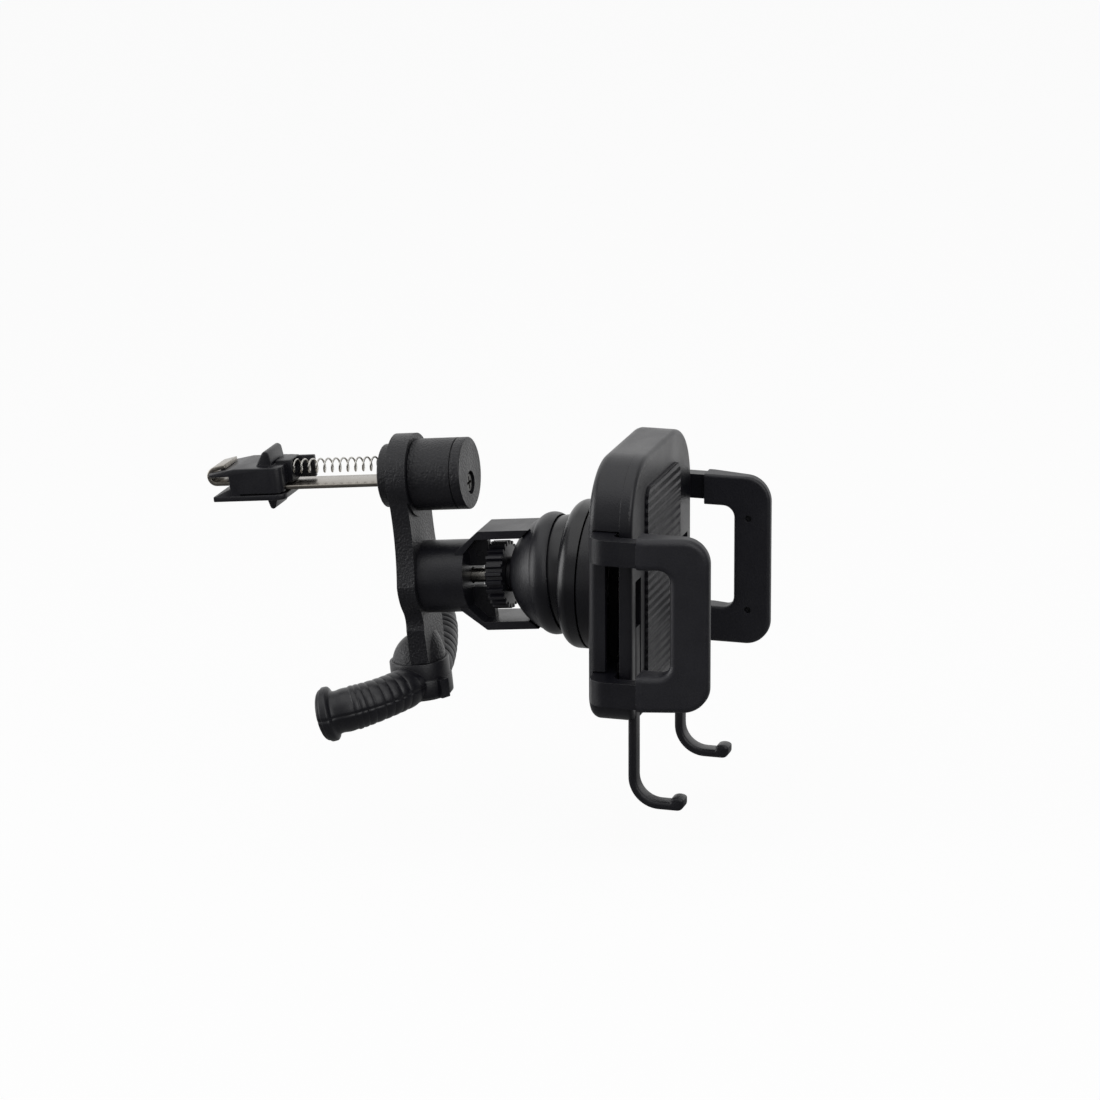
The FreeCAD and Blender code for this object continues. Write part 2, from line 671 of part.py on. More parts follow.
def cap_screw():
    """Cross-head screw of the end cap."""
    body = place(new_body("cap_screw"), 0.0, axis_z - d.screw_drop)
    head_end = cap_face + d.recess_depth
    head_face = head_end - d.screw_sink
    outline = (
        (head_face, 0.0),
        (head_face, d.screw_head),
        (head_end, d.screw_head),
        (head_end, d.screw_shank),
        (head_end + d.screw_length, d.screw_shank),
        (head_end + d.screw_length, 0.0),
    )
    revolve(body, sketch(body, "YZ", [outline]))
    for wide, high in ((d.cross_reach, d.cross_half), (d.cross_half, d.cross_reach)):
        cross = box(-wide, wide, -high, high)
        pocket(body, sketch(body, "XZ", [cross], at=head_face), d.cross_depth, reverse=True)
    return body


def clip_jaw():
    """Sprung jaw: a block on the strip, prongs over and under the louvre, finger tabs and the spring's seat."""
    body = new_body("clip_jaw")
    plate_top = -d.prong_floor
    plate_low = plate_top - d.plate_thick
    lane = d.strip_width + 2 * d.slide_gap
    block = (
        (d.jaw_nose, d.prong_under),
        (d.jaw_nose, d.prong_under + d.nose_thick),
        (-d.jaw_notch - d.nose_run, d.jaw_top),
        (-d.jaw_back, d.jaw_top),
        (-d.jaw_back, plate_low),
        (-d.jaw_notch, plate_low),
        (-d.jaw_notch, d.prong_under),
    )
    pad(body, sketch(body, "YZ", [block]), d.jaw_half * 2, "Symmetric")
    fillet(body, d.block_round, lambda edge, middle: at_station(middle.y, -d.jaw_back)
           and at_station(abs(middle.x), d.jaw_half))
    plate = box(-d.plate_back, d.jaw_nose, plate_low, plate_top)
    pad(body, sketch(body, "YZ", [plate]), d.jaw_half * 2, "Symmetric")
    fillet(body, d.plate_round, lambda edge, middle: at_station(middle.y, -d.plate_back)
           and at_station(abs(middle.x), d.jaw_half))
    seat = box(-d.pocket_floor, -d.jaw_back, strip_low + d.slide_gap, d.roof_rise)
    pad(body, sketch(body, "YZ", [seat]), d.roof_half * 2, "Symmetric")
    wall = box(-d.shelf_reach, -d.jaw_back, strip_low + d.slide_gap, d.roof_rise)
    pad(body, sketch(body, "YZ", [wall], at=d.roof_half), d.wall_thick)
    tab = (
        (-d.jaw_back + d.tab_front, d.jaw_top),
        (-d.jaw_back + d.tab_lean, d.jaw_top + d.tab_height),
        (-d.jaw_back + d.tab_lean - d.tab_crest, d.jaw_top + d.tab_height),
        (-d.jaw_back - d.tab_back, d.jaw_top + d.tab_height / 2),
        (-d.jaw_back - d.tab_back, d.jaw_top),
    )
    pad(body, sketch(body, "YZ", [tab]), d.tab_half * 2, "Symmetric")
    under = box(-d.jaw_back, -d.jaw_back + d.under_thick, plate_low - d.tab_drop, plate_low)
    pad(body, sketch(body, "YZ", [under]), d.under_half * 2, "Symmetric")
    hook_end = hook_centre - d.hook_leg - 2 * d.slide_gap
    hook_room = box(hook_end, d.jaw_nose, -hook_outer - d.slide_gap, d.jaw_top)
    pocket(body, sketch(body, "YZ", [hook_room]), lane, "Symmetric")
    way = (
        (-d.shelf_reach, strip_low - d.strip_thick - d.slide_gap),
        (d.jaw_nose, strip_low - d.strip_thick - d.slide_gap),
        (d.jaw_nose, strip_top + d.slide_gap),
        (-d.rise_start - d.rise_run / 2, strip_top + d.slide_gap),
        (-d.shelf_reach, strip_low + d.slide_gap),
    )
    pocket(body, sketch(body, "YZ", [way]), lane, "Symmetric")
    seam = box(-d.jaw_back, -d.jaw_notch - d.seam_start, plate_top, plate_top + d.seam_height)
    pocket(body, sketch(body, "YZ", [seam], at=-d.jaw_half), d.seam_depth)
    pocket(body, sketch(body, "YZ", [seam], at=d.jaw_half), d.seam_depth, reverse=True)
    peg = (0.0, axis_z + d.spring_rise, d.peg_radius)
    pad(body, sketch(body, "XZ", circles=[peg], at=-d.pocket_floor), d.peg_length)
    return body


def clip_spring():
    """Coil spring between the flange and the jaw."""
    length = d.clip_reach - d.pocket_floor - 2 * d.wire_radius
    helix = DOC.addObject("Part::Helix", "clip_spring_path")
    bind(helix, "Pitch", length / d.spring_turns)
    bind(helix, "Height", length)
    bind(helix, "Radius", d.spring_radius)
    wire = DOC.addObject("Part::Circle", "clip_spring_wire")
    bind(wire, "Radius", d.wire_radius)
    wire.Placement = FreeCAD.Placement(VECTOR(float(d.spring_radius), 0, 0), FreeCAD.Rotation(VECTOR(1, 0, 0), 90))
    bind(wire, "Placement.Base.x", d.spring_radius)
    DOC.recompute()
    coil = DOC.addObject("Part::Sweep", "clip_spring")
    coil.Sections = [wire]
    coil.Spine = (helix, ["Edge1"])
    coil.Solid = True
    coil.Frenet = True
    coil.Label = "clip_spring"
    coil.Placement = FreeCAD.Placement(VECTOR(0, 0, 0), FreeCAD.Rotation(VECTOR(1, 0, 0), -90))
    bind(coil, "Placement.Base.y", flange_back + d.wire_radius)
    bind(coil, "Placement.Base.z", axis_z + d.spring_rise)
    return coil


# Arm and foot

def arm():
    """Flat bar with the swivel's eye, the yoke's boss and the foot's round peg."""
    body = new_body("arm")
    boss_x = d.boss_radius * cosine(d.boss_turn)
    boss_z = yoke_z - d.boss_radius * sine(d.boss_turn)
    neck_z = yoke_z - d.neck_drop
    outline = (
        (-d.foot_half, collar_z + d.slide_gap),
        (d.foot_half, collar_z + d.slide_gap),
        (d.neck_half, neck_z),
        (boss_x, boss_z, -d.neck_arc),
        (d.boss_radius, yoke_z, d.boss_radius),
        (d.eye_radius, axis_z, -d.waist_arc),
        (0.0, axis_z + d.eye_radius, d.eye_radius),
        (-d.eye_radius, axis_z, d.eye_radius),
        (-d.boss_radius, yoke_z, -d.waist_arc),
        (-boss_x, boss_z, d.boss_radius),
        (-d.neck_half, neck_z, -d.neck_arc),
    )
    pad(body, sketch(body, "XZ", [outline], at=ring_back), d.arm_thick)
    eye = (0.0, axis_z, d.eye_radius)
    pad(body, sketch(body, "XZ", circles=[eye], at=ring_back), d.ring_depth)
    front_peg = (
        (0.0, collar_z - d.peg_depth),
        (d.peg_foot, collar_z - d.peg_depth),
        (d.peg_foot, collar_z),
        (0.0, collar_z + d.peg_dome, d.dome_arc),
    )
    revolve(body, sketch(body, "XZ", [front_peg], at=peg_y), "V_Axis", 180, reverse=True)
    rear_peg = front_peg[:3] + ((0.0, collar_z + d.rear_dome, d.rear_arc),)
    revolve(body, sketch(body, "XZ", [rear_peg], at=peg_y), "V_Axis", 180)
    bore = (0.0, axis_z, d.spindle_radius + d.turn_gap)
    pocket(body, sketch(body, "XZ", circles=[bore], at=ring_back), d.ring_depth)
    screw_hole = (0.0, yoke_z, d.screw_shank + d.turn_gap)
    pocket(body, sketch(body, "XZ", circles=[screw_hole], at=ring_back), d.arm_thick)
    screw_seat = (0.0, yoke_z, d.yoke_head + d.turn_gap)
    pocket(body, sketch(body, "XZ", circles=[screw_seat], at=ring_back), d.yoke_sink)
    return body


def yoke_screw():
    """Screw from behind the arm into the yoke's barrel."""
    body = on_yoke(new_body("yoke_screw"))
    head_end = ring_back - d.yoke_sink
    outline = (
        (ring_back - d.slide_gap, 0.0),
        (ring_back - d.slide_gap, d.yoke_head),
        (head_end, d.yoke_head),
        (head_end, d.screw_shank),
        (arm_front - d.yoke_thread, d.screw_shank),
        (arm_front - d.yoke_thread, 0.0),
    )
    revolve(body, sketch(body, "YZ", [outline]))
    return body


def solid(kind, name, **sizes):
    """A Part primitive with its sizes tied to the sheet."""
    thing = DOC.addObject(kind, name)
    for size, value in sizes.items():
        bind(thing, size, value)
    return thing


def joined(kind, name, **links):
    """A Part boolean of other pieces."""
    thing = DOC.addObject(kind, name)
    for link, value in links.items():
        setattr(thing, link, value)
    DOC.recompute()
    return thing


def foot_leg(name, half, end):
    """A round leg along the arc from the collar's axis through two points, with a flare and its rim."""
    points = [VECTOR(*(float(value) for value in point)) for point in ((0, 0, -d.leg_root), half, end)]
    path = Part.Arc(*points).toShape()
    arc = path.Curve
    spoke = (points[0] - arc.Center).normalize()
    turn = math.degrees(path.LastParameter - path.FirstParameter)
    bar = solid("Part::Torus", f"{name}_bar", Radius2=d.leg_radius)
    bar.Radius1 = arc.Radius
    bar.Angle3 = turn
    heading = arc.Axis.cross(spoke)
    bar.Placement = FreeCAD.Placement(arc.Center, FreeCAD.Rotation(spoke, heading, arc.Axis, "XYZ"))
    tangent = FreeCAD.Rotation(arc.Axis, turn).multVec(heading)
    outward = FreeCAD.Rotation(VECTOR(0, 0, 1), tangent)
    flare = solid("Part::Cone", f"{name}_flare", Radius1=d.leg_radius, Radius2=d.flare_radius, Height=d.flare_length)
    flare.Placement = FreeCAD.Placement(points[2], outward)
    rim = solid("Part::Cylinder", f"{name}_rim", Radius=d.flare_radius, Height=d.rim_length)
    rim.Placement = FreeCAD.Placement(points[2] + tangent * float(d.flare_length), outward)
    return [bar, flare, rim]


def support_foot():
    """Rubber foot: a collar on the arm's peg and two curved legs that end in flares against the dash."""
    bore = d.peg_foot + d.turn_gap
    wall = bore + d.collar_wall
    hollow = d.peg_depth + d.slide_gap
    depth = hollow + d.collar_floor
    collar = place(solid("Part::Cylinder", "foot_collar", Radius=wall, Height=depth), z=-depth)
    knee = place(solid("Part::Sphere", "foot_knee", Radius=d.leg_radius), z=-d.leg_root)
    lug = solid("Part::Box", "foot_lug", Length=wall, Width=d.lug_width, Height=d.lug_height)
    lug.Placement = FreeCAD.Placement(VECTOR(0, 0, 0), FreeCAD.Rotation(VECTOR(0, 0, 1), float(d.lug_turn)))
    bind(lug, "Placement.Rotation.Angle", d.lug_turn)
    bind(lug, "Placement.Base.x", d.lug_proud * cosine(d.lug_turn) + d.lug_width / 2 * sine(d.lug_turn))
    bind(lug, "Placement.Base.y", d.lug_proud * sine(d.lug_turn) - d.lug_width / 2 * cosine(d.lug_turn))
    bind(lug, "Placement.Base.z", -d.lug_low)
    near_leg = foot_leg("near_leg", (-d.near_half_x, d.near_half_y, -d.near_half_z),
                        (-d.near_end_x, d.near_end_y, -d.near_end_z))
    far_leg = foot_leg("far_leg", (d.far_half_x, d.far_half_y, -d.far_half_z),
                       (d.far_end_x, d.far_end_y, d.far_end_z))
    solids = joined("Part::MultiFuse", "foot_solids", Shapes=[collar, knee, lug] + near_leg + far_leg)
    cutter = solid("Part::Cylinder", "foot_bore", Radius=bore, Height=hollow + d.peg_dome)
    place(cutter, z=-hollow)
    foot = joined("Part::Cut", "support_foot", Base=solids, Tool=cutter)
    foot.Refine = True
    foot.Label = "support_foot"
    return place(foot, peg_y, collar_z)


# Yoke and clamp

socket_radius = d.ball_radius + d.joint_gap
cup_radius = socket_radius + d.cup_wall


def socket_yoke():
    """Barrel on the arm, two straps and a web round the wheel, and the bell-shaped socket, in one moulding."""
    body = on_yoke(new_body("socket_yoke"))
    barrel = (
        (arm_front, 0.0),
        (arm_front, d.yoke_radius),
        (yoke_end, d.yoke_radius),
        (yoke_end, 0.0),
    )
    revolve(body, sketch(body, "YZ", [barrel]))
    level = yoke_end + d.strap_root - d.strap_slope
    inside = d.strap_half - d.strap_thick
    mid_wall = socket_radius + d.cup_wall / 2
    sides = []
    for sign in (1.0, -1.0):
        strap = (
            (yoke_end + d.strap_root, d.strap_start * sign),
            (level, d.strap_half * sign),
            (ball_y + leg(mid_wall, d.strap_half), d.strap_half * sign),
            (ball_y + leg(mid_wall, inside), inside * sign),
            (level + d.strap_crook, inside * sign),
            (yoke_end + d.strap_root, (d.strap_start - d.strap_inset) * sign),
        )
        sides.append(strap)
    pad(body, sketch(body, "YZ", sides), d.strap_width, "Symmetric")
    webs = []
    web_end = wheel_back + d.slide_gap * 2
    for sign in (1.0, -1.0):
        web = (
            (yoke_end + d.strap_root, d.neck_height / 2 * sign),
            (web_end, d.neck_height / 2 * sign),
            (web_end, (d.strap_half - d.strap_thick / 2) * sign),
            (level, (d.strap_half - d.strap_thick / 2) * sign),
            (yoke_end + d.strap_root, (d.strap_start - d.strap_thick / 2) * sign),
        )
        webs.append(web)
    pad(body, sketch(body, "YZ", webs), d.web_thick, "Symmetric")
    bore = d.bolt_radius + d.joint_gap
    lip_start = d.cup_mouth + d.lip_length
    cup = (
        (wheel_front - d.face_gap, bore),
        (wheel_front - d.face_gap, d.seat_radius),
        (ball_y + leg(cup_radius, d.seat_radius), d.seat_radius),
        (ball_y + lip_start, leg(cup_radius, lip_start), cup_radius),
        (ball_y + d.cup_mouth, leg(socket_radius, d.cup_mouth) + d.lip_edge, d.lip_arc),
        (ball_y + d.cup_mouth, leg(socket_radius, d.cup_mouth)),
        (ball_y + leg(socket_radius, bore), bore, -socket_radius),
    )
    revolve(body, sketch(body, "YZ", [cup]))
    guide = box(yoke_end - d.slide_gap, yoke_end + d.bolt_tip + d.slide_gap, 0.0, bore)
    groove(body, sketch(body, "YZ", [guide]))
    pilot = box(arm_front - d.yoke_thread, arm_front, 0.0, d.screw_shank)
    groove(body, sketch(body, "YZ", [pilot]))
    return body


def thumb_wheel():
    """Toothed clamping wheel between the straps."""
    body = on_yoke(new_body("thumb_wheel"))
    rim = d.wheel_radius - d.tooth_depth
    pad(body, sketch(body, "XZ", circles=[(0.0, 0.0, rim)], at=wheel_back), d.wheel_thick)
    tooth = (
        (-d.tooth_foot / 2, rim - d.tooth_root),
        (d.tooth_foot / 2, rim - d.tooth_root),
        (d.tooth_crest / 2, d.wheel_radius),
        (-d.tooth_crest / 2, d.wheel_radius),
    )
    polar(body, pad(body, sketch(body, "XZ", [tooth], at=wheel_back), d.wheel_thick), d.wheel_teeth)
    bore = (0.0, 0.0, d.bolt_radius + d.turn_gap)
    pocket(body, sketch(body, "XZ", circles=[bore], at=wheel_back), d.wheel_thick)
    return body


washer_outer = d.ball_radius - d.dome_wall - d.joint_gap
washer_inner = washer_outer - d.washer_wall
head_radius = washer_inner - d.joint_gap


def draw_bolt():
    """Bolt whose rounded head pulls the spherical washer, and whose end shows beyond the wheel."""
    body = on_yoke(new_body("draw_bolt"))
    shoulder = ball_y + leg(head_radius, d.bolt_head)
    outline = (
        (shoulder - d.head_thick, 0.0),
        (shoulder - d.head_thick, d.bolt_head),
        (shoulder, d.bolt_head),
        (ball_y + leg(head_radius, d.bolt_radius), d.bolt_radius, -head_radius),
        (yoke_end + d.bolt_tip, d.bolt_radius),
        (yoke_end + d.bolt_tip, 0.0),
    )
    revolve(body, sketch(body, "YZ", [outline]))
    return body


def clamp_washer():
    """Spherical washer inside the dome, slotted so that it can swing past the bolt."""
    body = place(new_body("clamp_washer"), ball_y, yoke_z)
    inner_edge = d.washer_edge - d.washer_slope
    outline = (
        (washer_inner, 0.0),
        (leg(washer_inner, inner_edge), inner_edge, washer_inner),
        (leg(washer_outer, d.washer_edge), d.washer_edge),
        (washer_outer, 0.0, -washer_outer),
    )
    revolve(body, sketch(body, "YZ", [outline]))
    half = d.bolt_radius + d.joint_gap
    slot = box(-d.slot_half, d.slot_half, -half, half)
    pocket(body, sketch(body, "XZ", [slot], at=washer_outer), washer_outer)
    return body


# Cradle

spigot_end = -d.base_seam - d.shoulder - 2 * d.slide_gap
retainer_face = spigot_end - d.retainer_thick


def ring_places():
    """The retaining plate's screws, seen from the front."""
    turns = (0.0, math.tau / 3, -math.tau / 3)
    return [(d.ring_screws * math.sin(turn), d.ring_screws * math.cos(turn)) for turn in turns]


def ball_base():
    """Hollow friction dome with its bowl-shaped base and the spigot that turns in the rear shell."""
    body = on_dome(new_body("ball_base"))
    inner = d.ball_radius - d.dome_wall
    mouth = d.base_seam - d.dome_wall
    outline = (
        (leg(d.ball_radius, d.pole_radius), d.pole_radius),
        (-d.base_face, leg(d.ball_radius, d.base_face), d.ball_radius),
        (-d.base_face, d.base_inner),
        (-d.base_face - d.base_swell, d.base_radius, d.base_arc),
        (-d.base_seam, d.base_radius),
        (-d.base_seam, d.spigot_radius),
        (spigot_end, d.spigot_radius),
        (spigot_end, d.spigot_bore),
        (-mouth, d.spigot_bore),
        (-d.base_face, leg(inner, d.base_face)),
        (leg(inner, d.pole_radius), d.pole_radius, -inner),
    )
    revolve(body, sketch(body, "YZ", [outline]))
    pilots = [(x, z, d.case_screw) for x, z in ring_places()]
    pocket(body, sketch(body, "XZ", circles=pilots, at=spigot_end), d.shoulder, reverse=True)
    return body


def spin_retainer():
    """Plate screwed to the spigot's end, behind the shell's shoulder."""
    body = on_dome(new_body("spin_retainer"))
    outline = box(retainer_face, spigot_end, d.spigot_bore, d.retainer_radius)
    revolve(body, sketch(body, "YZ", [outline]))
    holes = [(x, z, d.case_screw + d.turn_gap) for x, z in ring_places()]
    pocket(body, sketch(body, "XZ", circles=holes, at=spigot_end), d.retainer_thick)
    return body


def housing_outline(inset=0.0):
    """Front view of the housing: straight sides, large upper corners and small lower ones."""
    half = d.housing_half - inset
    top = d.housing_top - inset
    base = d.housing_base - inset
    upper = d.top_corner - inset
    lower = d.base_corner - inset
    return (
        (half - lower, -base),
        (half, -base + lower, lower),
        (half, top - upper),
        (half - upper, top, upper),
        (-half + upper, top),
        (-half, top - upper, upper),
        (-half, -base + lower),
        (-half + lower, -base, lower),
    )


def post_places():
    """The four housing screws, seen from the front."""
    return [(x * d.post_across, z) for x in (-1, 1) for z in (d.post_above, -d.post_below)]


bar_top = d.bar_spacing / 2 - d.jaw_centre
bar_low = -d.bar_spacing / 2 - d.jaw_centre
bar_back = -d.shell_back - d.shell_wall - d.slide_gap
bar_face = bar_back - d.bar_thick
boss_face = -d.base_seam - d.slide_gap


def rear_shell():
    """Back half of the housing with the boss that the base turns in and openings for the jaw bars."""
    body = on_dome(new_body("rear_shell"))
    pad(body, sketch(body, "XZ", [housing_outline()], at=-d.shell_back), d.shell_depth)
    fillet(body, d.back_round, lambda edge, middle: at_station(middle.y, -d.shell_back))
    boss = (0.0, 0.0, d.base_radius - d.slide_gap)
    pad(body, sketch(body, "XZ", circles=[boss], at=boss_face), d.shell_back + boss_face + d.shell_wall)
    cavity = d.shell_depth - d.shell_wall
    pocket(body, sketch(body, "XZ", [housing_outline(d.shell_wall)], at=seam_y), cavity, reverse=True)
    posts = [(x, z, d.post_radius) for x, z in post_places()]
    pad(body, sketch(body, "XZ", circles=posts, at=seam_y), cavity, reverse=True)
    bore = (0.0, 0.0, d.spigot_radius + d.turn_gap)
    pocket(body, sketch(body, "XZ", circles=[bore], at=boss_face), d.shoulder)
    room = (0.0, 0.0, d.retainer_radius + d.slide_gap)
    depth = d.shell_back + d.shell_wall + boss_face - d.shoulder
    pocket(body, sketch(body, "XZ", circles=[room], at=boss_face - d.shoulder), depth)
    slots = [box(seam_y, bar_back - d.bar_thick / 2, bar_low, bar_top)]
    for middle in (bar_top, bar_low):
        reach = d.bar_height / 2 + d.slide_gap
        slots.append(box(seam_y, bar_back + d.slide_gap, middle - reach, middle + reach))
    for slot in slots:
        pocket(body, sketch(body, "YZ", [slot]), d.housing_half * 2, "Symmetric")
    holes = [(x, z, d.case_screw + d.turn_gap) for x, z in post_places()]
    pocket(body, sketch(body, "XZ", circles=holes, at=-d.shell_back), d.shell_depth)
    heads = [(x, z, d.case_head + d.turn_gap) for x, z in post_places()]
    pocket(body, sketch(body, "XZ", circles=heads, at=-d.shell_back), d.shell_wall)
    return body


def front_plate():
    """Front half of the housing with channels for the J feet and the pinion's axle."""
    body = on_dome(new_body("front_plate"))
    pad(body, sketch(body, "XZ", [housing_outline()], at=seam_y), d.front_thick)
    fillet(body, d.front_round, lambda edge, middle: at_station(middle.y, front_y))
    channels = []
    for side in (-1.0, 1.0):
        edge = d.foot_across * side
        half = d.foot_width / 2 + d.slide_gap
        channels.append(box(edge - half, edge + half, -d.housing_base, d.foot_travel - d.foot_top))
    depth = d.foot_thick + d.slide_gap
    pocket(body, sketch(body, "XZ", channels, at=front_y), depth, reverse=True)
    axle = (0.0, -d.jaw_centre, d.axle_radius)
    pad(body, sketch(body, "XZ", circles=[axle], at=seam_y), d.slide_gap + d.gear_thick + d.axle_end, reverse=True)
    pilots = [(x, z, d.case_screw) for x, z in post_places()]
    pocket(body, sketch(body, "XZ", circles=pilots, at=seam_y), d.case_pilot)
    return body


def back_pad():
    """Thin cushion on the front plate, between the feet's channels."""
    body = on_dome(new_body("back_pad"))
    half = d.cushion_half
    corner = d.base_corner / 2
    top = d.housing_top - d.top_corner / 2
    low = d.housing_base - d.base_corner
    outline = (
        (half - corner, -low),
        (half, -low + corner, corner),
        (half, top - corner),
        (half - corner, top, corner),
        (-half + corner, top),
        (-half, top - corner, corner),
        (-half, -low + corner),
        (-half + corner, -low, corner),
    )
    pad(body, sketch(body, "XZ", [outline], at=front_y), d.cushion_thick)
    return body


gear_module = 2 * d.gear_pitch / d.gear_teeth


def pinion():
    """Small gear that makes the two jaws open by the same amount."""
    depth = ball_y + d.jaw_centre * sine(d.tilt)
    body = place(new_body("pinion"), depth, yoke_z - d.jaw_centre * cosine(d.tilt), d.tilt)
    hub = d.gear_pitch - d.gear_ded
    front = seam_y + d.slide_gap
    pad(body, sketch(body, "XZ", circles=[(0.0, 0.0, hub)], at=front), d.gear_thick, reverse=True)
    tooth = (
        (-d.gear_foot / 2, hub - d.gear_root),
        (d.gear_foot / 2, hub - d.gear_root),
        (d.gear_crest / 2, d.gear_pitch + d.gear_add),
        (-d.gear_crest / 2, d.gear_pitch + d.gear_add),
    )
    raised = pad(body, sketch(body, "XZ", [tooth], at=front), d.gear_thick, reverse=True)
    polar(body, raised, d.gear_teeth)
    bore = (0.0, 0.0, d.axle_radius + d.turn_gap)
    pocket(body, sketch(body, "XZ", circles=[bore], at=front), d.gear_thick, reverse=True)
    return body


def jaw(name, side):
    """Hard frame of one jaw: two bars out of the housing, the plate that links them and its rack."""
    body = on_dome(new_body(name))
    outer = d.jaw_outer * side
    inside = (d.jaw_outer - d.bar_forward) * side
    corner = d.bar_corner
    turn = 1.0 if side > 0 else -1.0
    bend = corner * turn
    crook = d.bar_crook * -turn
    bar = (
        (d.bar_inner * side, bar_face),
        (inside - d.bar_crook * side, bar_face),
        (inside, bar_face - d.bar_crook, crook),
        (inside, -d.pad_seam),
        (outer, -d.pad_seam),
        (outer, bar_back - corner),
        (outer - corner * side, bar_back, bend),
        (d.bar_inner * side, bar_back),
    )
    low = sketch(body, "XY", [bar], at=bar_low)
    lower = pad(body, low, d.bar_height, "Symmetric")
    row(body, lower, "Z_Axis", d.bar_spacing, 2)
    link = box(d.link_inner * side, (d.link_inner + d.link_width) * side, bar_low, bar_top)
    pad(body, sketch(body, "XZ", [link], at=bar_back), d.link_thick)
    return body


# First tooth of each rack from the pinion's axis, in tooth pitches
FIRST_TOOTH = {1.0: -4.5, -1.0: -2.5}


def jaw_rack(body, side):
    """Toothed rack of a jaw, above the pinion on one side and below it on the other."""
    way = -side
    pitch_line = -d.jaw_centre + d.gear_pitch * way
    tip = pitch_line - d.gear_add * way
    valley = pitch_line + d.gear_ded * way
    back = pitch_line + d.rack_back * way
    bar = box(-d.rack_end * side, (d.link_inner + d.link_width) * side, valley, back)
    front = seam_y + d.slide_gap
    pad(body, sketch(body, "XZ", [bar], at=front), d.gear_thick, reverse=True)
    root = box(d.link_inner * side, (d.link_inner + d.link_width) * side, valley, back)
    pad(body, sketch(body, "XZ", [root], at=front), bar_back - front, reverse=True)
    step = math.pi * gear_module
    first = FIRST_TOOTH[side] * step
    foot = d.rack_foot / 2
    crest = d.rack_crest / 2
    tooth = (
        (first - foot, valley + d.slide_gap * way),
        (first + foot, valley + d.slide_gap * way),
        (first + crest, tip),
        (first - crest, tip),
    )
    raised = pad(body, sketch(body, "XZ", [tooth], at=front), d.gear_thick, reverse=True)
    row(body, raised, "X_Axis", step * (d.rack_teeth - 1), d.rack_teeth)
    return body


def grip_pad(name, side):
    """Soft C-shaped grip frame on the front of a jaw."""
    body = on_dome(new_body(name))
    top = d.pad_height / 2 - d.jaw_centre
    low = -d.pad_height / 2 - d.jaw_centre
    high = d.window_lift + d.window_height / 2 - d.jaw_centre
    deep = d.window_lift - d.window_height / 2 - d.jaw_centre
    bar = -d.pad_front + d.pad_bar
    corner = d.pad_corner
    bend = d.window_corner
    outline = (
        (-d.pad_seam, low),
        (-d.pad_seam, deep),
        (bar + bend, deep),
        (bar, deep + bend, -bend),
        (bar, high - bend),
        (bar + bend, high, -bend),
        (-d.pad_seam, high),
        (-d.pad_seam, top),
        (-d.pad_front + corner, top),
        (-d.pad_front, top - corner, corner),
        (-d.pad_front, low + corner),
        (-d.pad_front + corner, low, corner),
    )
    inner = d.grip * side
    width = d.jaw_outer - d.grip
    pad(body, sketch(body, "YZ", [outline], at=inner), width, reverse=side < 0)
    bevel = (
        (d.jaw_outer * side, -d.pad_seam - d.pad_round),
        ((d.jaw_outer + d.pad_round) * side, -d.pad_seam - d.pad_round),
        ((d.jaw_outer + d.pad_round) * side, -d.pad_front),
        (d.pad_nose * side, -d.pad_front),
    )
    pocket(body, sketch(body, "XY", [bevel], at=-d.pad_height), d.pad_height * 2)
    back = float(-d.pad_seam)
    fillet(body, d.pad_round, lambda edge, middle: abs(middle.x) > float(d.grip) + 0.5 and middle.y < back - 0.1
           and outside(abs(middle.x), middle.y))
    fillet(body, d.pad_round / 2, lambda edge, middle: at_station(abs(middle.x), d.grip) and middle.y < back - 0.1)
    middle = -d.jaw_centre - d.pin_drop
    holes = [(d.pin_set - d.pad_front, middle + way * d.pin_spacing / 2, d.pin_radius) for way in (-1, 1)]
    pocket(body, sketch(body, "YZ", circles=holes, at=inner), d.pin_depth, reverse=side < 0)
    return body


def outside(x, y):
    """True on the outer faces of a grip pad."""
    start = float(-d.pad_seam - d.pad_round)
    if y > start:
        return at_station(x, d.jaw_outer)
    part = (start - y) / (start + float(d.pad_front))
    return at_station(x, float(d.jaw_outer) + part * float(d.pad_nose - d.jaw_outer), 0.05)


def j_foot(name, side):
    """J-shaped strip that slides in the front plate and carries the phone's lower edge."""
    body = on_dome(new_body(name))
    back = front_y + d.foot_thick
    low = -d.foot_drop
    bend = d.foot_bend
    inner = bend - d.foot_thick
    toe = -d.foot_toe
    cap = d.toe_thick / 2
    outline = (
        (back, -d.foot_top),
        (front_y, -d.foot_top),
        (front_y, low + bend),
        (back - bend, low + d.foot_thick, -inner),
        (toe + d.toe_thick, low + d.foot_thick),
        (toe + d.toe_thick, low + d.toe_rise - cap),
        (toe + cap, low + d.toe_rise, cap),
        (toe, low + d.toe_rise - cap, cap),
        (toe, low + cap),
        (toe + cap, low, cap),
        (back - bend, low),
        (back, low + bend, bend),
    )
    pad(body, sketch(body, "YZ", [outline], at=d.foot_across * side), d.foot_width, "Symmetric")
    return body


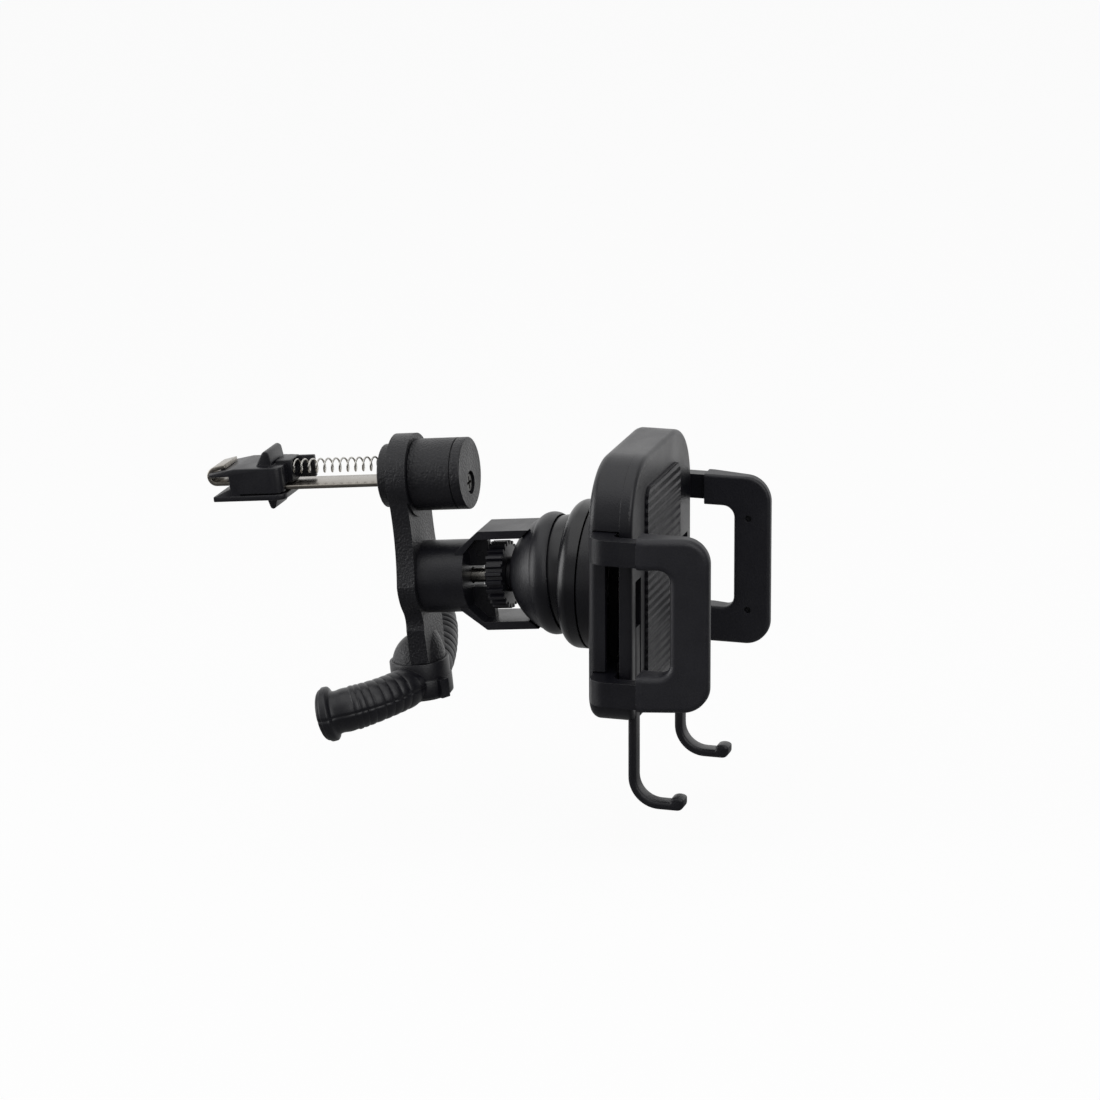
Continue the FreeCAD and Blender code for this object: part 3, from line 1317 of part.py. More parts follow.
def fasteners(name, places, start, way, head_depth, length):
    """A group of equal screws along Y, each a head and a shank."""
    screws = []
    for number, (x, z) in enumerate(places, start=1):
        head = solid("Part::Cylinder", f"{name}_head{number}", Radius=d.case_head, Height=head_depth)
        shank = solid("Part::Cylinder", f"{name}_shank{number}", Radius=d.case_screw, Height=length)
        for part in (head, shank):
            part.Placement = FreeCAD.Placement(VECTOR(0, 0, 0), FreeCAD.Rotation(VECTOR(1, 0, 0), -90 * way))
            bind(part, "Placement.Base.x", x)
            bind(part, "Placement.Base.y", start)
            bind(part, "Placement.Base.z", z)
        screw = joined("Part::Fuse", f"{name}_{number}", Base=head, Tool=shank)
        screw.Refine = True
        screws.append(screw)
    group = joined("Part::Compound", name, Links=screws)
    group.Label = name
    return on_dome(group)


def retainer_screws():
    """Screws that hold the retaining plate on the spigot's end."""
    start = retainer_face - d.screw_sink
    length = d.screw_sink + d.retainer_thick + d.shoulder
    return fasteners("retainer_screws", ring_places(), start, 1, d.screw_sink, length)


def housing_screws():
    """Screws through the rear shell into the front plate."""
    length = d.shell_depth + d.case_bite
    return fasteners("housing_screws", post_places(), -d.shell_back, -1, d.shell_wall, length)


def build():
    """Make every piece of the mount."""
    pieces = [
        hook_strip(),
        spindle_flange(),
        swivel_barrel(),
        barrel_cap(),
        cap_screw(),
        clip_jaw(),
        clip_spring(),
        arm(),
        yoke_screw(),
        support_foot(),
        socket_yoke(),
        thumb_wheel(),
        draw_bolt(),
        clamp_washer(),
        ball_base(),
        spin_retainer(),
        rear_shell(),
        front_plate(),
        back_pad(),
        pinion(),
    ]
    for hand, side in (("left", -1.0), ("right", 1.0)):
        pieces.append(jaw_rack(jaw(f"{hand}_jaw", side), side))
        pieces.append(grip_pad(f"{hand}_pad", side))
        pieces.append(j_foot(f"{hand}_foot", side))
    pieces.append(retainer_screws())
    pieces.append(housing_screws())
    return pieces


def check(pieces):
    """Refuse a document with a failed feature, or a piece that isn't a valid solid."""
    DOC.recompute()
    for item in DOC.Objects:
        if "Invalid" in item.State or "Error" in item.State:
            raise RuntimeError(f"{item.Label} failed: {item.State}")
    for piece in pieces:
        shape = piece.Shape
        if shape.isNull() or not shape.isValid() or not shape.Solids:
            raise RuntimeError(f"{piece.Label} has no valid solid")


def export(pieces):
    """Write one STEP file for each piece."""
    os.makedirs("parts", exist_ok=True)
    for piece in pieces:
        piece.Shape.exportStep(os.path.join("parts", f"{piece.Label}.step"))
        room = piece.Shape.BoundBox
        print(f"{piece.Label}: {len(piece.Shape.Solids)} solid, {piece.Shape.Volume:.1f} mm3, "
              f"X {room.XMin:.1f} to {room.XMax:.1f}, Y {room.YMin:.1f} to {room.YMax:.1f}, "
              f"Z {room.ZMin:.1f} to {room.ZMax:.1f}")


made = build()
check(made)
export(made)
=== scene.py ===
# %% [markdown]
# # A vent mount for a phone
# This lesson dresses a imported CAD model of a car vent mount. The solids give every size and place. The
# cells below add the finishes, the coil spring, the ribbed rubber foot, the J feet, the bent strip, the
# sprung jaw, the bolt's thread, the marks of the ejector pins and the studio.

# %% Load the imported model
import math

import bmesh
import bpy
from mathutils import Euler, Matrix, Vector


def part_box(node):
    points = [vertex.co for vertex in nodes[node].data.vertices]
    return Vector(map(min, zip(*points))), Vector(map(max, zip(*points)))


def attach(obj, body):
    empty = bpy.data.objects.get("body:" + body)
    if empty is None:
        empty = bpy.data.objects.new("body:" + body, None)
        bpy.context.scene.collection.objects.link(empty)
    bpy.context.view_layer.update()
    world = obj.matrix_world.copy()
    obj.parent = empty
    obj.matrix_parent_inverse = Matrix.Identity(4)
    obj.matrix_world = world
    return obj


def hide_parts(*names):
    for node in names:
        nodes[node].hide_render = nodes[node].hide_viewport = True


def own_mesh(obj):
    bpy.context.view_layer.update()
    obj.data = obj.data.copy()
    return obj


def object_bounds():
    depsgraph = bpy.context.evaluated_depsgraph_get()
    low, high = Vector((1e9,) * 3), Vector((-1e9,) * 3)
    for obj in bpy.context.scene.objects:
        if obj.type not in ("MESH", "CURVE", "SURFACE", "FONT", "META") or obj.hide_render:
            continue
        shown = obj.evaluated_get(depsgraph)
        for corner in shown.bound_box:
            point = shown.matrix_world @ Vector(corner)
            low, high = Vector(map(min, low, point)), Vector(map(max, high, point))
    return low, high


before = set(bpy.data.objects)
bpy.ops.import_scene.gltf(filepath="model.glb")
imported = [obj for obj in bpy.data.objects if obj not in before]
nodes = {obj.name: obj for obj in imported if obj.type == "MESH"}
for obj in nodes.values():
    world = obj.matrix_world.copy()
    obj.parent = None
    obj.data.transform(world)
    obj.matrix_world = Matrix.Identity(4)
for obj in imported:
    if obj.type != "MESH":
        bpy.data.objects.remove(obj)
cad_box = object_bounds()
MM = 0.001

# %% [markdown]
# ## One helper for all node trees
# Materials and Geometry Nodes are both graphs. One small function that adds a node, sets it and links it
# keeps each graph readable as a list, so there is no helper for each kind of node. Two more turn a hex
# colour into a linear one and put an object into the scene.

# %% Helpers for nodes, colours and objects


def add(tree, kind, inputs=None, **settings):
    """Add a node, apply its settings, and fill its sockets with values or links."""
    node = tree.nodes.new(kind)
    for name, value in settings.items():
        setattr(node, name, value)
    for name, value in (inputs or {}).items():
        if isinstance(value, bpy.types.NodeSocket):
            tree.links.new(value, node.inputs[name])
        else:
            node.inputs[name].default_value = value
    return node


def tint(code):
    """Turn an sRGB hex colour into the linear colour that shaders use."""
    channels = [int(code[place:place + 2], 16) / 255 for place in (0, 2, 4)]
    linear = [c / 12.92 if c <= 0.04045 else ((c + 0.055) / 1.055) ** 2.4 for c in channels]
    return (*linear, 1.0)


def put(name, data):
    """Make an object of some data and link it into the scene."""
    item = bpy.data.objects.new(name, data)
    bpy.context.scene.collection.objects.link(item)
    return item


print("helpers ready; mid grey is", round(tint("808080")[0], 3))

# %% [markdown]
# ## Moulded plastic and rubber
# The mount is black, so its shape is told by reflections alone. Moulded ABS has a satin skin from a
# spark-eroded tool: a fine grain of about 0.15 mm that scatters the highlight. The barrels have a coarser
# grain, and the rubber of the pads and the cushion is duller. All of them are one recipe with different
# numbers, so one function builds them. A grain this fine would vanish in the picture, so it is drawn
# about three times as coarse as it is. The cushion behind a phone has shallow ribs, which a wave in the
# bump draws.

# %% Black plastics and rubbers
# The Mix node has sockets for numbers, vectors and colours, all named A and B: these are the colours'
COLOUR_A = 6
COLOUR_B = 7
COLOUR_MIX = 2
# Typical of ABS and of rubber
PLASTIC_IOR = 1.52
# A slow drift in the colour and the gloss
BLOTCH_MM = 9.0
BLOTCH_DETAIL = 3.0
GLOSS_DRIFT = 0.05
GRAIN_DETAIL = 2.0
# Noise seldom leaves this range, so the gloss follows it between these two values
NOISE_LOW = 0.3
NOISE_HIGH = 0.7
EDGE_SAMPLES = 4
# The Wave node's bands repeat after this length when its scale is 1
WAVE_LENGTH = math.pi / 10
RIB_STRENGTH = 0.7
# How many times wider than high a rib of the cushion is
RIB_FLATNESS = 3


def moulded(name, dark, light, roughness, grain_mm, depth, edge_mm=0.2, rib_mm=0.0):
    """A moulded skin: grain, a slow drift in colour and gloss, softened edges, and ribs where wanted."""
    material = bpy.data.materials.new(name)
    material.use_nodes = True
    tree = material.node_tree
    shader = tree.nodes["Principled BSDF"]
    shader.inputs["IOR"].default_value = PLASTIC_IOR
    place = add(tree, "ShaderNodeTexCoord").outputs["Object"]
    drift = add(tree, "ShaderNodeTexNoise", {
        "Vector": place, "Scale": 1 / (BLOTCH_MM * MM), "Detail": BLOTCH_DETAIL,
    }).outputs["Fac"]
    colour = add(tree, "ShaderNodeMix", {
        "Factor": drift, COLOUR_A: tint(dark), COLOUR_B: tint(light),
    }, data_type="RGBA")
    tree.links.new(colour.outputs[COLOUR_MIX], shader.inputs["Base Color"])
    gloss = add(tree, "ShaderNodeMapRange", {
        "Value": drift, "From Min": NOISE_LOW, "From Max": NOISE_HIGH,
        "To Min": roughness - GLOSS_DRIFT, "To Max": roughness + GLOSS_DRIFT,
    })
    tree.links.new(gloss.outputs["Result"], shader.inputs["Roughness"])
    normal = add(tree, "ShaderNodeBevel", {"Radius": edge_mm * MM}, samples=EDGE_SAMPLES).outputs["Normal"]
    if rib_mm:
        ribs = add(tree, "ShaderNodeTexWave", {
            "Vector": place, "Scale": WAVE_LENGTH / (rib_mm * MM),
        }, bands_direction="Z").outputs["Fac"]
        normal = add(tree, "ShaderNodeBump", {
            "Height": ribs, "Strength": RIB_STRENGTH, "Normal": normal,
            "Distance": rib_mm * MM / RIB_FLATNESS,
        }).outputs["Normal"]
    grain = add(tree, "ShaderNodeTexNoise", {
        "Vector": place, "Scale": 1 / (grain_mm * MM), "Detail": GRAIN_DETAIL,
    }).outputs["Fac"]
    bump = add(tree, "ShaderNodeBump", {
        "Height": grain, "Strength": depth, "Normal": normal, "Distance": grain_mm * MM,
    })
    tree.links.new(bump.outputs["Normal"], shader.inputs["Normal"])
    return material


# Spark-eroded skin: a soft, broad highlight
satin_abs = moulded("satin_moulded_abs", "0c0c12", "121219", 0.38, 0.40, 0.16)
# A coarser tool: the highlight breaks up into a fine sparkle
barrel_abs = moulded("grained_moulded_abs", "0a0a10", "101016", 0.42, 0.60, 0.45)
# Polished where it slides: a tighter, cleaner highlight
polished_abs = moulded("polished_moulded_abs", "09090e", "0e0e13", 0.30, 0.30, 0.05)
# Soft rubber that a hand and a phone rub: duller, and a little paler
grip_rubber = moulded("moulded_grip_rubber", "15151b", "1b1b22", 0.46, 0.40, 0.16)
# The cushion's rubber: the dullest, with its ribs
ribbed_rubber = moulded("ribbed_cushion_rubber", "101016", "16161d", 0.50, 0.40, 0.16, rib_mm=2.2)
# Firm rubber from a smooth tool: hardly any grain, so that its ribs draw clear lines of light
foot_rubber = moulded("moulded_foot_rubber", "0d0d13", "131319", 0.38, 0.40, 0.10)
# Unpigmented acetal: milky white with a waxy shine
natural_acetal = moulded("natural_acetal", "d9d6cc", "e4e1d8", 0.38, 0.30, 0.04)
print("moulded skins:", ", ".join(item.name for item in bpy.data.materials if "moulded" in item.name))

# %% [markdown]
# ## Steel
# The hook is bright rolled strip, whose rolling lines run along it. The spring is drawn wire, and the
# screws and the bolt are plated. A metal has no diffuse colour of its own: what it shows is the studio,
# broken up by fine lines in its roughness.

# %% Steels
LINE_DETAIL = 4.0
# How much the lines lower and raise the roughness
LINE_SHINE = 0.07
LINE_DULLNESS = 0.1


def metal(name, colour, roughness, line_mm, stretch, depth, edge_mm=0.1):
    """A metal with fine lines in its gloss and bump, drawn out along one axis."""
    material = bpy.data.materials.new(name)
    material.use_nodes = True
    tree = material.node_tree
    shader = tree.nodes["Principled BSDF"]
    shader.inputs["Base Color"].default_value = tint(colour)
    shader.inputs["Metallic"].default_value = 1.0
    place = add(tree, "ShaderNodeTexCoord").outputs["Object"]
    drawn = add(tree, "ShaderNodeMapping", {"Vector": place, "Scale": stretch}).outputs["Vector"]
    lines = add(tree, "ShaderNodeTexNoise", {
        "Vector": drawn, "Scale": 1 / (line_mm * MM), "Detail": LINE_DETAIL,
    }).outputs["Fac"]
    gloss = add(tree, "ShaderNodeMapRange", {
        "Value": lines, "From Min": NOISE_LOW, "From Max": NOISE_HIGH,
        "To Min": roughness - LINE_SHINE, "To Max": roughness + LINE_DULLNESS,
    })
    tree.links.new(gloss.outputs["Result"], shader.inputs["Roughness"])
    edges = add(tree, "ShaderNodeBevel", {"Radius": edge_mm * MM}, samples=EDGE_SAMPLES)
    bump = add(tree, "ShaderNodeBump", {
        "Height": lines, "Strength": depth, "Distance": line_mm * MM, "Normal": edges.outputs["Normal"],
    })
    tree.links.new(bump.outputs["Normal"], shader.inputs["Normal"])
    return material


EVEN = (1.0, 1.0, 1.0)
# The strip's rolling lines are drawn out 25 times along Y
ROLLED = (1.0, 0.04, 1.0)
# Rolled strip: long streaks in a bright, slightly warm sheen
rolled_steel = metal("rolled_steel_strip", "a09b93", 0.28, 0.25, ROLLED, 0.08)
# Drawn wire: the brightest, so that each coil is a clear line
drawn_wire = metal("drawn_spring_wire", "c4c2bd", 0.22, 0.20, EVEN, 0.03)
# Zinc plating: even and a little cloudy
plated_steel = metal("plated_screw_steel", "a5a29c", 0.26, 0.25, EVEN, 0.05)
# Blackened steel: dark, with a dull shine on its edges
dark_steel = metal("blackened_bolt_steel", "4a4947", 0.34, 0.25, EVEN, 0.06)
print("steels:", rolled_steel.name, drawn_wire.name, plated_steel.name, dark_steel.name)

# %% [markdown]
# ## Finishes on the solids
# Every solid keeps its shape and only trades its plain material for a real one, so it is enough to write
# into its material slots. Pieces that people handle are satin, the dome that has to slide is polished,
# and what meets a phone is rubber.

# %% Give each solid its finish
FINISHES = {
    plated_steel: ("yoke_screw", "retainer_screws", "housing_screws", "draw_bolt"),
    dark_steel: ("cap_screw",),
    barrel_abs: ("swivel_barrel", "barrel_cap", "arm", "spindle_flange"),
    polished_abs: ("ball_base", "clamp_washer"),
    natural_acetal: ("pinion",),
    grip_rubber: ("left_pad", "right_pad"),
    ribbed_rubber: ("back_pad",),
    satin_abs: ("socket_yoke", "thumb_wheel", "spin_retainer", "rear_shell", "front_plate",
                "left_jaw", "right_jaw"),
}
for material, names in FINISHES.items():
    for name in names:
        slots = nodes[name].data.materials
        slots.clear()
        slots.append(material)
bare = sorted(set(nodes) - {name for names in FINISHES.values() for name in names})
print("solids that a piece of the scene replaces:", ", ".join(bare))

# %% [markdown]
# ## Making a mesh from a Geometry Nodes tree
# What repeats or follows a path is drawn as a small tree with named inputs. These functions start a tree,
# end it, and grow it: the last one puts the tree on an empty object, sets its inputs by the sockets'
# identifiers, and keeps the result as a plain mesh with its place in its points.

# %% From a tree to a piece
VALUE = "NodeSocketFloat"
POINT = "NodeSocketVector"


def new_tree(name, sizes):
    """A tree with a geometry output and one named input for each size."""
    tree = bpy.data.node_groups.new(name, "GeometryNodeTree")
    tree.interface.new_socket("Geometry", in_out="OUTPUT", socket_type="NodeSocketGeometry")
    for label, kind in sizes.items():
        tree.interface.new_socket(label, in_out="INPUT", socket_type=kind)
    entry = tree.nodes.new("NodeGroupInput")
    return tree, entry.outputs


def close_tree(tree, geometry, material):
    """End a tree in real meshes with their material."""
    real = add(tree, "GeometryNodeRealizeInstances", {"Geometry": geometry}).outputs["Geometry"]
    smooth = add(tree, "GeometryNodeSetShadeSmooth", {"Geometry": real}).outputs["Geometry"]
    dressed = add(tree, "GeometryNodeSetMaterial", {"Geometry": smooth, "Material": material})
    add(tree, "NodeGroupOutput", {"Geometry": dressed.outputs["Geometry"]})


def grow(name, tree, values, matrix=Matrix()):
    """Run a tree on an empty mesh and keep what it makes as a plain piece."""
    seed = put(f"{name}_seed", bpy.data.meshes.new(f"{name}_seed"))
    modifier = seed.modifiers.new("shape", "NODES")
    modifier.node_group = tree
    for item in tree.interface.items_tree:
        if item.in_out == "INPUT" and item.name in values:
            modifier[item.identifier] = values[item.name]
    bpy.context.view_layer.update()
    ready = seed.evaluated_get(bpy.context.evaluated_depsgraph_get())
    mesh = bpy.data.meshes.new_from_object(ready)
    mesh.name = name
    bpy.data.objects.remove(seed)
    mesh.transform(matrix)
    return put(name, mesh)


print("trees become plain meshes with grow()")

# %% [markdown]
# ## The coil spring
# A spring is the plainest shape that follows a rule: a helix swept by a round wire. The Spiral node draws
# the helix from a number of turns and a height, and Curve to Mesh gives it its wire. The bolt's thread
# needs the same tree further down, so a function builds it.

# %% Coil spring
WIRE = 0.5 * MM
COIL_TURNS = 13.0
COIL_STEPS = 40
WIRE_SIDES = 10
Z_TO_Y = Euler((-math.pi / 2, 0, 0)).to_matrix().to_4x4()


def helix_tree(name, steps, sides, material):
    """A tree that sweeps a small section with a few sides along a helix."""
    tree, size = new_tree(name, {
        "Turns": VALUE, "Length": VALUE, "Helix radius": VALUE, "Section radius": VALUE,
    })
    helix = add(tree, "GeometryNodeCurveSpiral", {
        "Resolution": steps, "Rotations": size["Turns"], "Height": size["Length"],
        "Start Radius": size["Helix radius"], "End Radius": size["Helix radius"],
    })
    section = add(tree, "GeometryNodeCurvePrimitiveCircle", {
        "Resolution": sides, "Radius": size["Section radius"],
    })
    swept = add(tree, "GeometryNodeCurveToMesh", {
        "Curve": helix.outputs["Curve"], "Profile Curve": section.outputs["Curve"], "Fill Caps": True,
    })
    close_tree(tree, swept.outputs["Mesh"], material)
    return tree


low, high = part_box("clip_spring")
spring_axis = Vector(((low.x + high.x) / 2, low.y, (low.z + high.z) / 2))
coil_spring = grow("coil_spring", helix_tree("coil", COIL_STEPS, WIRE_SIDES, drawn_wire), {
    "Turns": COIL_TURNS,
    "Length": high.y - low.y - WIRE,
    "Helix radius": (high.z - low.z - WIRE) / 2,
    "Section radius": WIRE / 2,
}, Matrix.Translation(spring_axis + Vector((0, WIRE / 2, 0))) @ Z_TO_Y)
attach(coil_spring, "hook")
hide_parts("clip_spring")
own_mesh(coil_spring)
print(f"coil spring: {len(coil_spring.data.polygons)} faces over {(high.y - low.y) / MM:.1f} mm")

# %% [markdown]
# ## The ribbed rubber foot
# The foot braces the mount against the dashboard. Each leg is a rubber tube on an arc, ribbed like a
# bellows where it bends, smooth and a little fatter towards its end, and closed by a disc. That is a
# radius that changes along a path, so the tree draws the arc through three points and scales the section
# by two rules: a drawn curve for the form, and a rounded wave for the ribs, whose valleys lie closer
# together towards the end. The section has a notch on each side, which runs along the leg as the parting
# line of the mould.

# %% The legs' tree
# How far along the leg, and how wide there, as a share of the radius at the end
LEG_FORM = (
    (0.0, 0.70), (0.45, 0.715), (0.74, 0.775), (0.81, 0.80), (0.87, 0.775), (0.90, 0.80), (0.915, 0.89),
    (0.925, 0.965), (0.935, 0.995), (0.968, 1.0), (0.973, 0.95), (0.99, 0.94), (1.0, 0.90),
)
# How far along the leg each valley between two ribs lies
VALLEYS = (0.23, 0.33, 0.40, 0.47, 0.535, 0.61, 0.665, 0.71, 0.753)
RIBS = len(VALLEYS) - 1
# A power below 1 rounds the ribs and leaves the valleys sharp
RIB_ROUNDNESS = 0.4
ARC_STEPS = 320
SECTION_STEPS = 88
# Half the notch's width, as a share of the section's radius
SEAM_HALF = 0.02


def draw_points(mapping, points, handles):
    """Draw a Float Curve node's curve through the given points."""
    curve = mapping.curves[0].points
    while len(curve) < len(points):
        curve.new(0.5, 0.5)
    for point, place in zip(curve, points):
        point.location = place
        point.handle_type = handles
    mapping.update()


leg_tree, size = new_tree("ribbed_leg", {
    "Start": POINT, "Middle": POINT, "End": POINT,
    "Radius": VALUE, "Ribs": VALUE, "Rib height": VALUE, "Seam depth": VALUE,
})
arc = add(leg_tree, "GeometryNodeCurveArc", {
    "Resolution": ARC_STEPS, "Start": size["Start"], "Middle": size["Middle"], "End": size["End"],
}, mode="POINTS")
level = add(leg_tree, "GeometryNodeSetCurveNormal", {"Curve": arc.outputs["Curve"]}, mode="Z_UP")
along = add(leg_tree, "GeometryNodeSplineParameter").outputs["Factor"]
form = add(leg_tree, "ShaderNodeFloatCurve", {"Value": along})
draw_points(form.mapping, LEG_FORM, "AUTO_CLAMPED")
plain = add(leg_tree, "ShaderNodeMath", {
    0: form.outputs["Value"], 1: size["Radius"],
}, operation="MULTIPLY")
rib_numbers = [(place, number / RIBS) for number, place in enumerate(VALLEYS)]
beat = add(leg_tree, "ShaderNodeFloatCurve", {"Value": along})
draw_points(beat.mapping, [(0.0, 0.0), *rib_numbers, (1.0, 1.0)], "VECTOR")
count = add(leg_tree, "ShaderNodeMath", {
    0: beat.outputs["Value"], 1: size["Ribs"],
}, operation="MULTIPLY")
phase = add(leg_tree, "ShaderNodeMath", {0: count.outputs[0], 1: math.pi}, operation="MULTIPLY")
sine = add(leg_tree, "ShaderNodeMath", {0: phase.outputs[0]}, operation="SINE")
wave = add(leg_tree, "ShaderNodeMath", {0: sine.outputs[0]}, operation="ABSOLUTE")
crown = add(leg_tree, "ShaderNodeMath", {0: wave.outputs[0], 1: RIB_ROUNDNESS}, operation="POWER")
rib = add(leg_tree, "ShaderNodeMath", {0: crown.outputs[0], 1: size["Rib height"]}, operation="MULTIPLY")
ribbed = add(leg_tree, "ShaderNodeMath", {0: plain.outputs[0], 1: rib.outputs[0]}, operation="ADD")
print("leg tree: a radius from", len(leg_tree.nodes), "nodes")

# %% The legs' section
ring = add(leg_tree, "GeometryNodeCurvePrimitiveCircle", {"Resolution": SECTION_STEPS, "Radius": 1.0})
spot = add(leg_tree, "GeometryNodeInputPosition").outputs["Position"]
across = add(leg_tree, "ShaderNodeSeparateXYZ", {"Vector": spot}).outputs["Y"]
off_side = add(leg_tree, "ShaderNodeMath", {0: across}, operation="ABSOLUTE")
at_seam = add(leg_tree, "ShaderNodeMath", {0: off_side.outputs[0], 1: SEAM_HALF}, operation="LESS_THAN")
notch = add(leg_tree, "ShaderNodeMath", {
    0: at_seam.outputs[0], 1: size["Seam depth"],
}, operation="MULTIPLY")
pulled = add(leg_tree, "ShaderNodeMath", {0: notch.outputs[0], 1: -1.0}, operation="MULTIPLY")
inward = add(leg_tree, "ShaderNodeVectorMath", {0: spot, "Scale": pulled.outputs[0]}, operation="SCALE")
seamed = add(leg_tree, "GeometryNodeSetPosition", {
    "Geometry": ring.outputs["Curve"], "Offset": inward.outputs["Vector"],
})
tube = add(leg_tree, "GeometryNodeCurveToMesh", {
    "Curve": level.outputs["Curve"], "Profile Curve": seamed.outputs["Geometry"],
    "Scale": ribbed.outputs[0], "Fill Caps": True,
})
close_tree(leg_tree, tube.outputs["Mesh"], foot_rubber)
print("leg tree:", len(leg_tree.nodes), "nodes")

# %% [markdown]
# ## Shapes from outlines
# The pieces that follow are mouldings and bent metal, and most of them are outlines that are turned about
# an axis or pushed out along one. Two functions do that in bmesh, where an outline stays a plain list of
# points in millimetres. Exact booleans join and cut the results, and the last function marks the lines
# where the shading turns a corner.

# %% Turn, push out, join and shade
TURN_STEPS = 96
RIM_STEPS = 3
ROUND_PROFILE = 0.5
CREASE = math.radians(32.0)
# Where a point of a flat view lies when it is pushed out along an axis
PUSHED = {
    "x": lambda u, v, w: Vector((w, u, v)),
    "y": lambda u, v, w: Vector((u, w, v)),
    "z": lambda u, v, w: Vector((u, v, w)),
}


def as_piece(name, work, material):
    """Keep a bmesh as a piece with one material."""
    mesh = bpy.data.meshes.new(name)
    work.to_mesh(mesh)
    work.free()
    mesh.materials.append(material)
    return put(name, mesh)


def turned(name, outline, centre, material):
    """Turn an outline of radius and height about an upright axis into a closed piece."""
    work = bmesh.new()
    angles = [math.tau * step / TURN_STEPS for step in range(TURN_STEPS)]
    rings = []
    for radius, height in outline:
        points = [Vector((radius * math.cos(angle), radius * math.sin(angle), height)) for angle in angles]
        rings.append([work.verts.new(centre + point * MM) for point in points])
    for first, second in zip(rings, rings[1:]):
        for step in range(TURN_STEPS):
            after = (step + 1) % TURN_STEPS
            work.faces.new((first[step], first[after], second[after], second[step]))
    work.faces.new(reversed(rings[0]))
    work.faces.new(rings[-1])
    bmesh.ops.recalc_face_normals(work, faces=work.faces)
    return as_piece(name, work, material)


def bend(u, v, radius, first, last, steps=10):
    """Points on an arc of a flat view, from one angle to another in degrees."""
    angles = [math.radians(first + (last - first) * step / steps) for step in range(steps + 1)]
    return [(u + radius * math.cos(angle), v + radius * math.sin(angle)) for angle in angles]


def oblong(u0, u1, v0, v1):
    """A plain rectangle as a flat view."""
    return ((u0, v0), (u1, v0), (u1, v1), (u0, v1))


def prism(name, view, axis, first, last, round_mm, material, matrix=Matrix()):
    """Push a flat view out along an axis, from one height to another, and round its rims."""
    work = bmesh.new()
    spot = PUSHED[axis]
    face = work.faces.new([work.verts.new(spot(u, v, first) * MM) for u, v in view])
    pushed = bmesh.ops.extrude_face_region(work, geom=[face])["geom"]
    rise = spot(0.0, 0.0, last - first) * MM
    moved = [part for part in pushed if isinstance(part, bmesh.types.BMVert)]
    bmesh.ops.translate(work, vec=rise, verts=moved)
    bmesh.ops.recalc_face_normals(work, faces=work.faces)
    if round_mm:
        spans = {edge: abs((edge.verts[0].co - edge.verts[1].co).dot(rise)) for edge in work.edges}
        rims = [edge for edge, span in spans.items() if span < rise.length ** 2 / 2]
        bmesh.ops.bevel(work, geom=rims, offset=round_mm * MM, segments=RIM_STEPS, affect="EDGES",
                        profile=ROUND_PROFILE)
    bmesh.ops.transform(work, matrix=matrix, verts=work.verts)
    return as_piece(name, work, material)


def carve(piece, tool, operation):
    """Apply one exact boolean and drop the tool."""
    modifier = piece.modifiers.new("join", "BOOLEAN")
    modifier.operation = operation
    modifier.solver = "EXACT"
    modifier.object = tool
    bpy.context.view_layer.update()
    ready = piece.evaluated_get(bpy.context.evaluated_depsgraph_get())
    mesh = bpy.data.meshes.new_from_object(ready)
    piece.modifiers.clear()
    piece.data = mesh
    bpy.data.objects.remove(tool)


def crease(piece):
    """Smooth shading, with sharp lines where the surface turns a corner."""
    piece.data.shade_smooth()
    piece.data.set_sharp_from_angle(angle=CREASE)


print("outlines are turned, or pushed out along", ", ".join(PUSHED))

# %% [markdown]
# ## The foot's collar
# The collar that sits on the arm's peg is turned about its axis, with a wider lower band, and a small lug
# stands on that band. A ball-shaped knee under it rounds the corner between the two legs. Booleans join
# them to the legs, open the bore and clear the way of the arm's lower end, so that the rubber is one
# closed skin, as it is on the real foot.

# %% Collar, legs and lug in one piece
COLLAR = Vector((0.0, -46.8, -50.4)) * MM
# From here on, millimetres from the middle of the collar's top
COLLAR_OUTLINE = (
    (6.6, -10.0), (7.3, -9.8), (8.0, -9.0), (8.05, -8.6), (8.05, -4.75), (7.95, -4.55), (7.7, -4.5),
    (7.7, -0.3), (7.6, -0.08), (7.4, 0.0),
)
KNEE_RADIUS = 5.15
KNEE_DROP = 5.6
KNEE_STEPS = 20
LUG_TURN = math.radians(-122.0)
LUG_REACH = 8.0
LUG_HALF_LENGTH = 1.5
LUG_HALF_WIDTH = 1.3
LUG_LOW = -9.4
LUG_HIGH = -4.4
LUG_ROUND = 0.2
# Each leg's arc: where it starts, passes and ends
LEG_PATHS = {
    "near": ((0.0, 0.0, -KNEE_DROP), (-13.0, 5.2, -6.5), (-20.3, 20.0, -9.0)),
    "far": ((0.0, 0.0, -KNEE_DROP), (14.5, 0.4, -2.8), (28.9, 5.6, 7.3)),
}
LEG_END_RADIUS = 7.1 * MM
RIB_HEIGHT = 0.28 * MM
# As a share of the leg's radius
SEAM_DEPTH = 0.035
CUT_TOP = 9.0
BORE_RADIUS = 6.95
BORE_FLOOR = -6.3
ARM_ROOM_RADIUS = 9.6
ARM_ROOM_FLOOR = 0.02

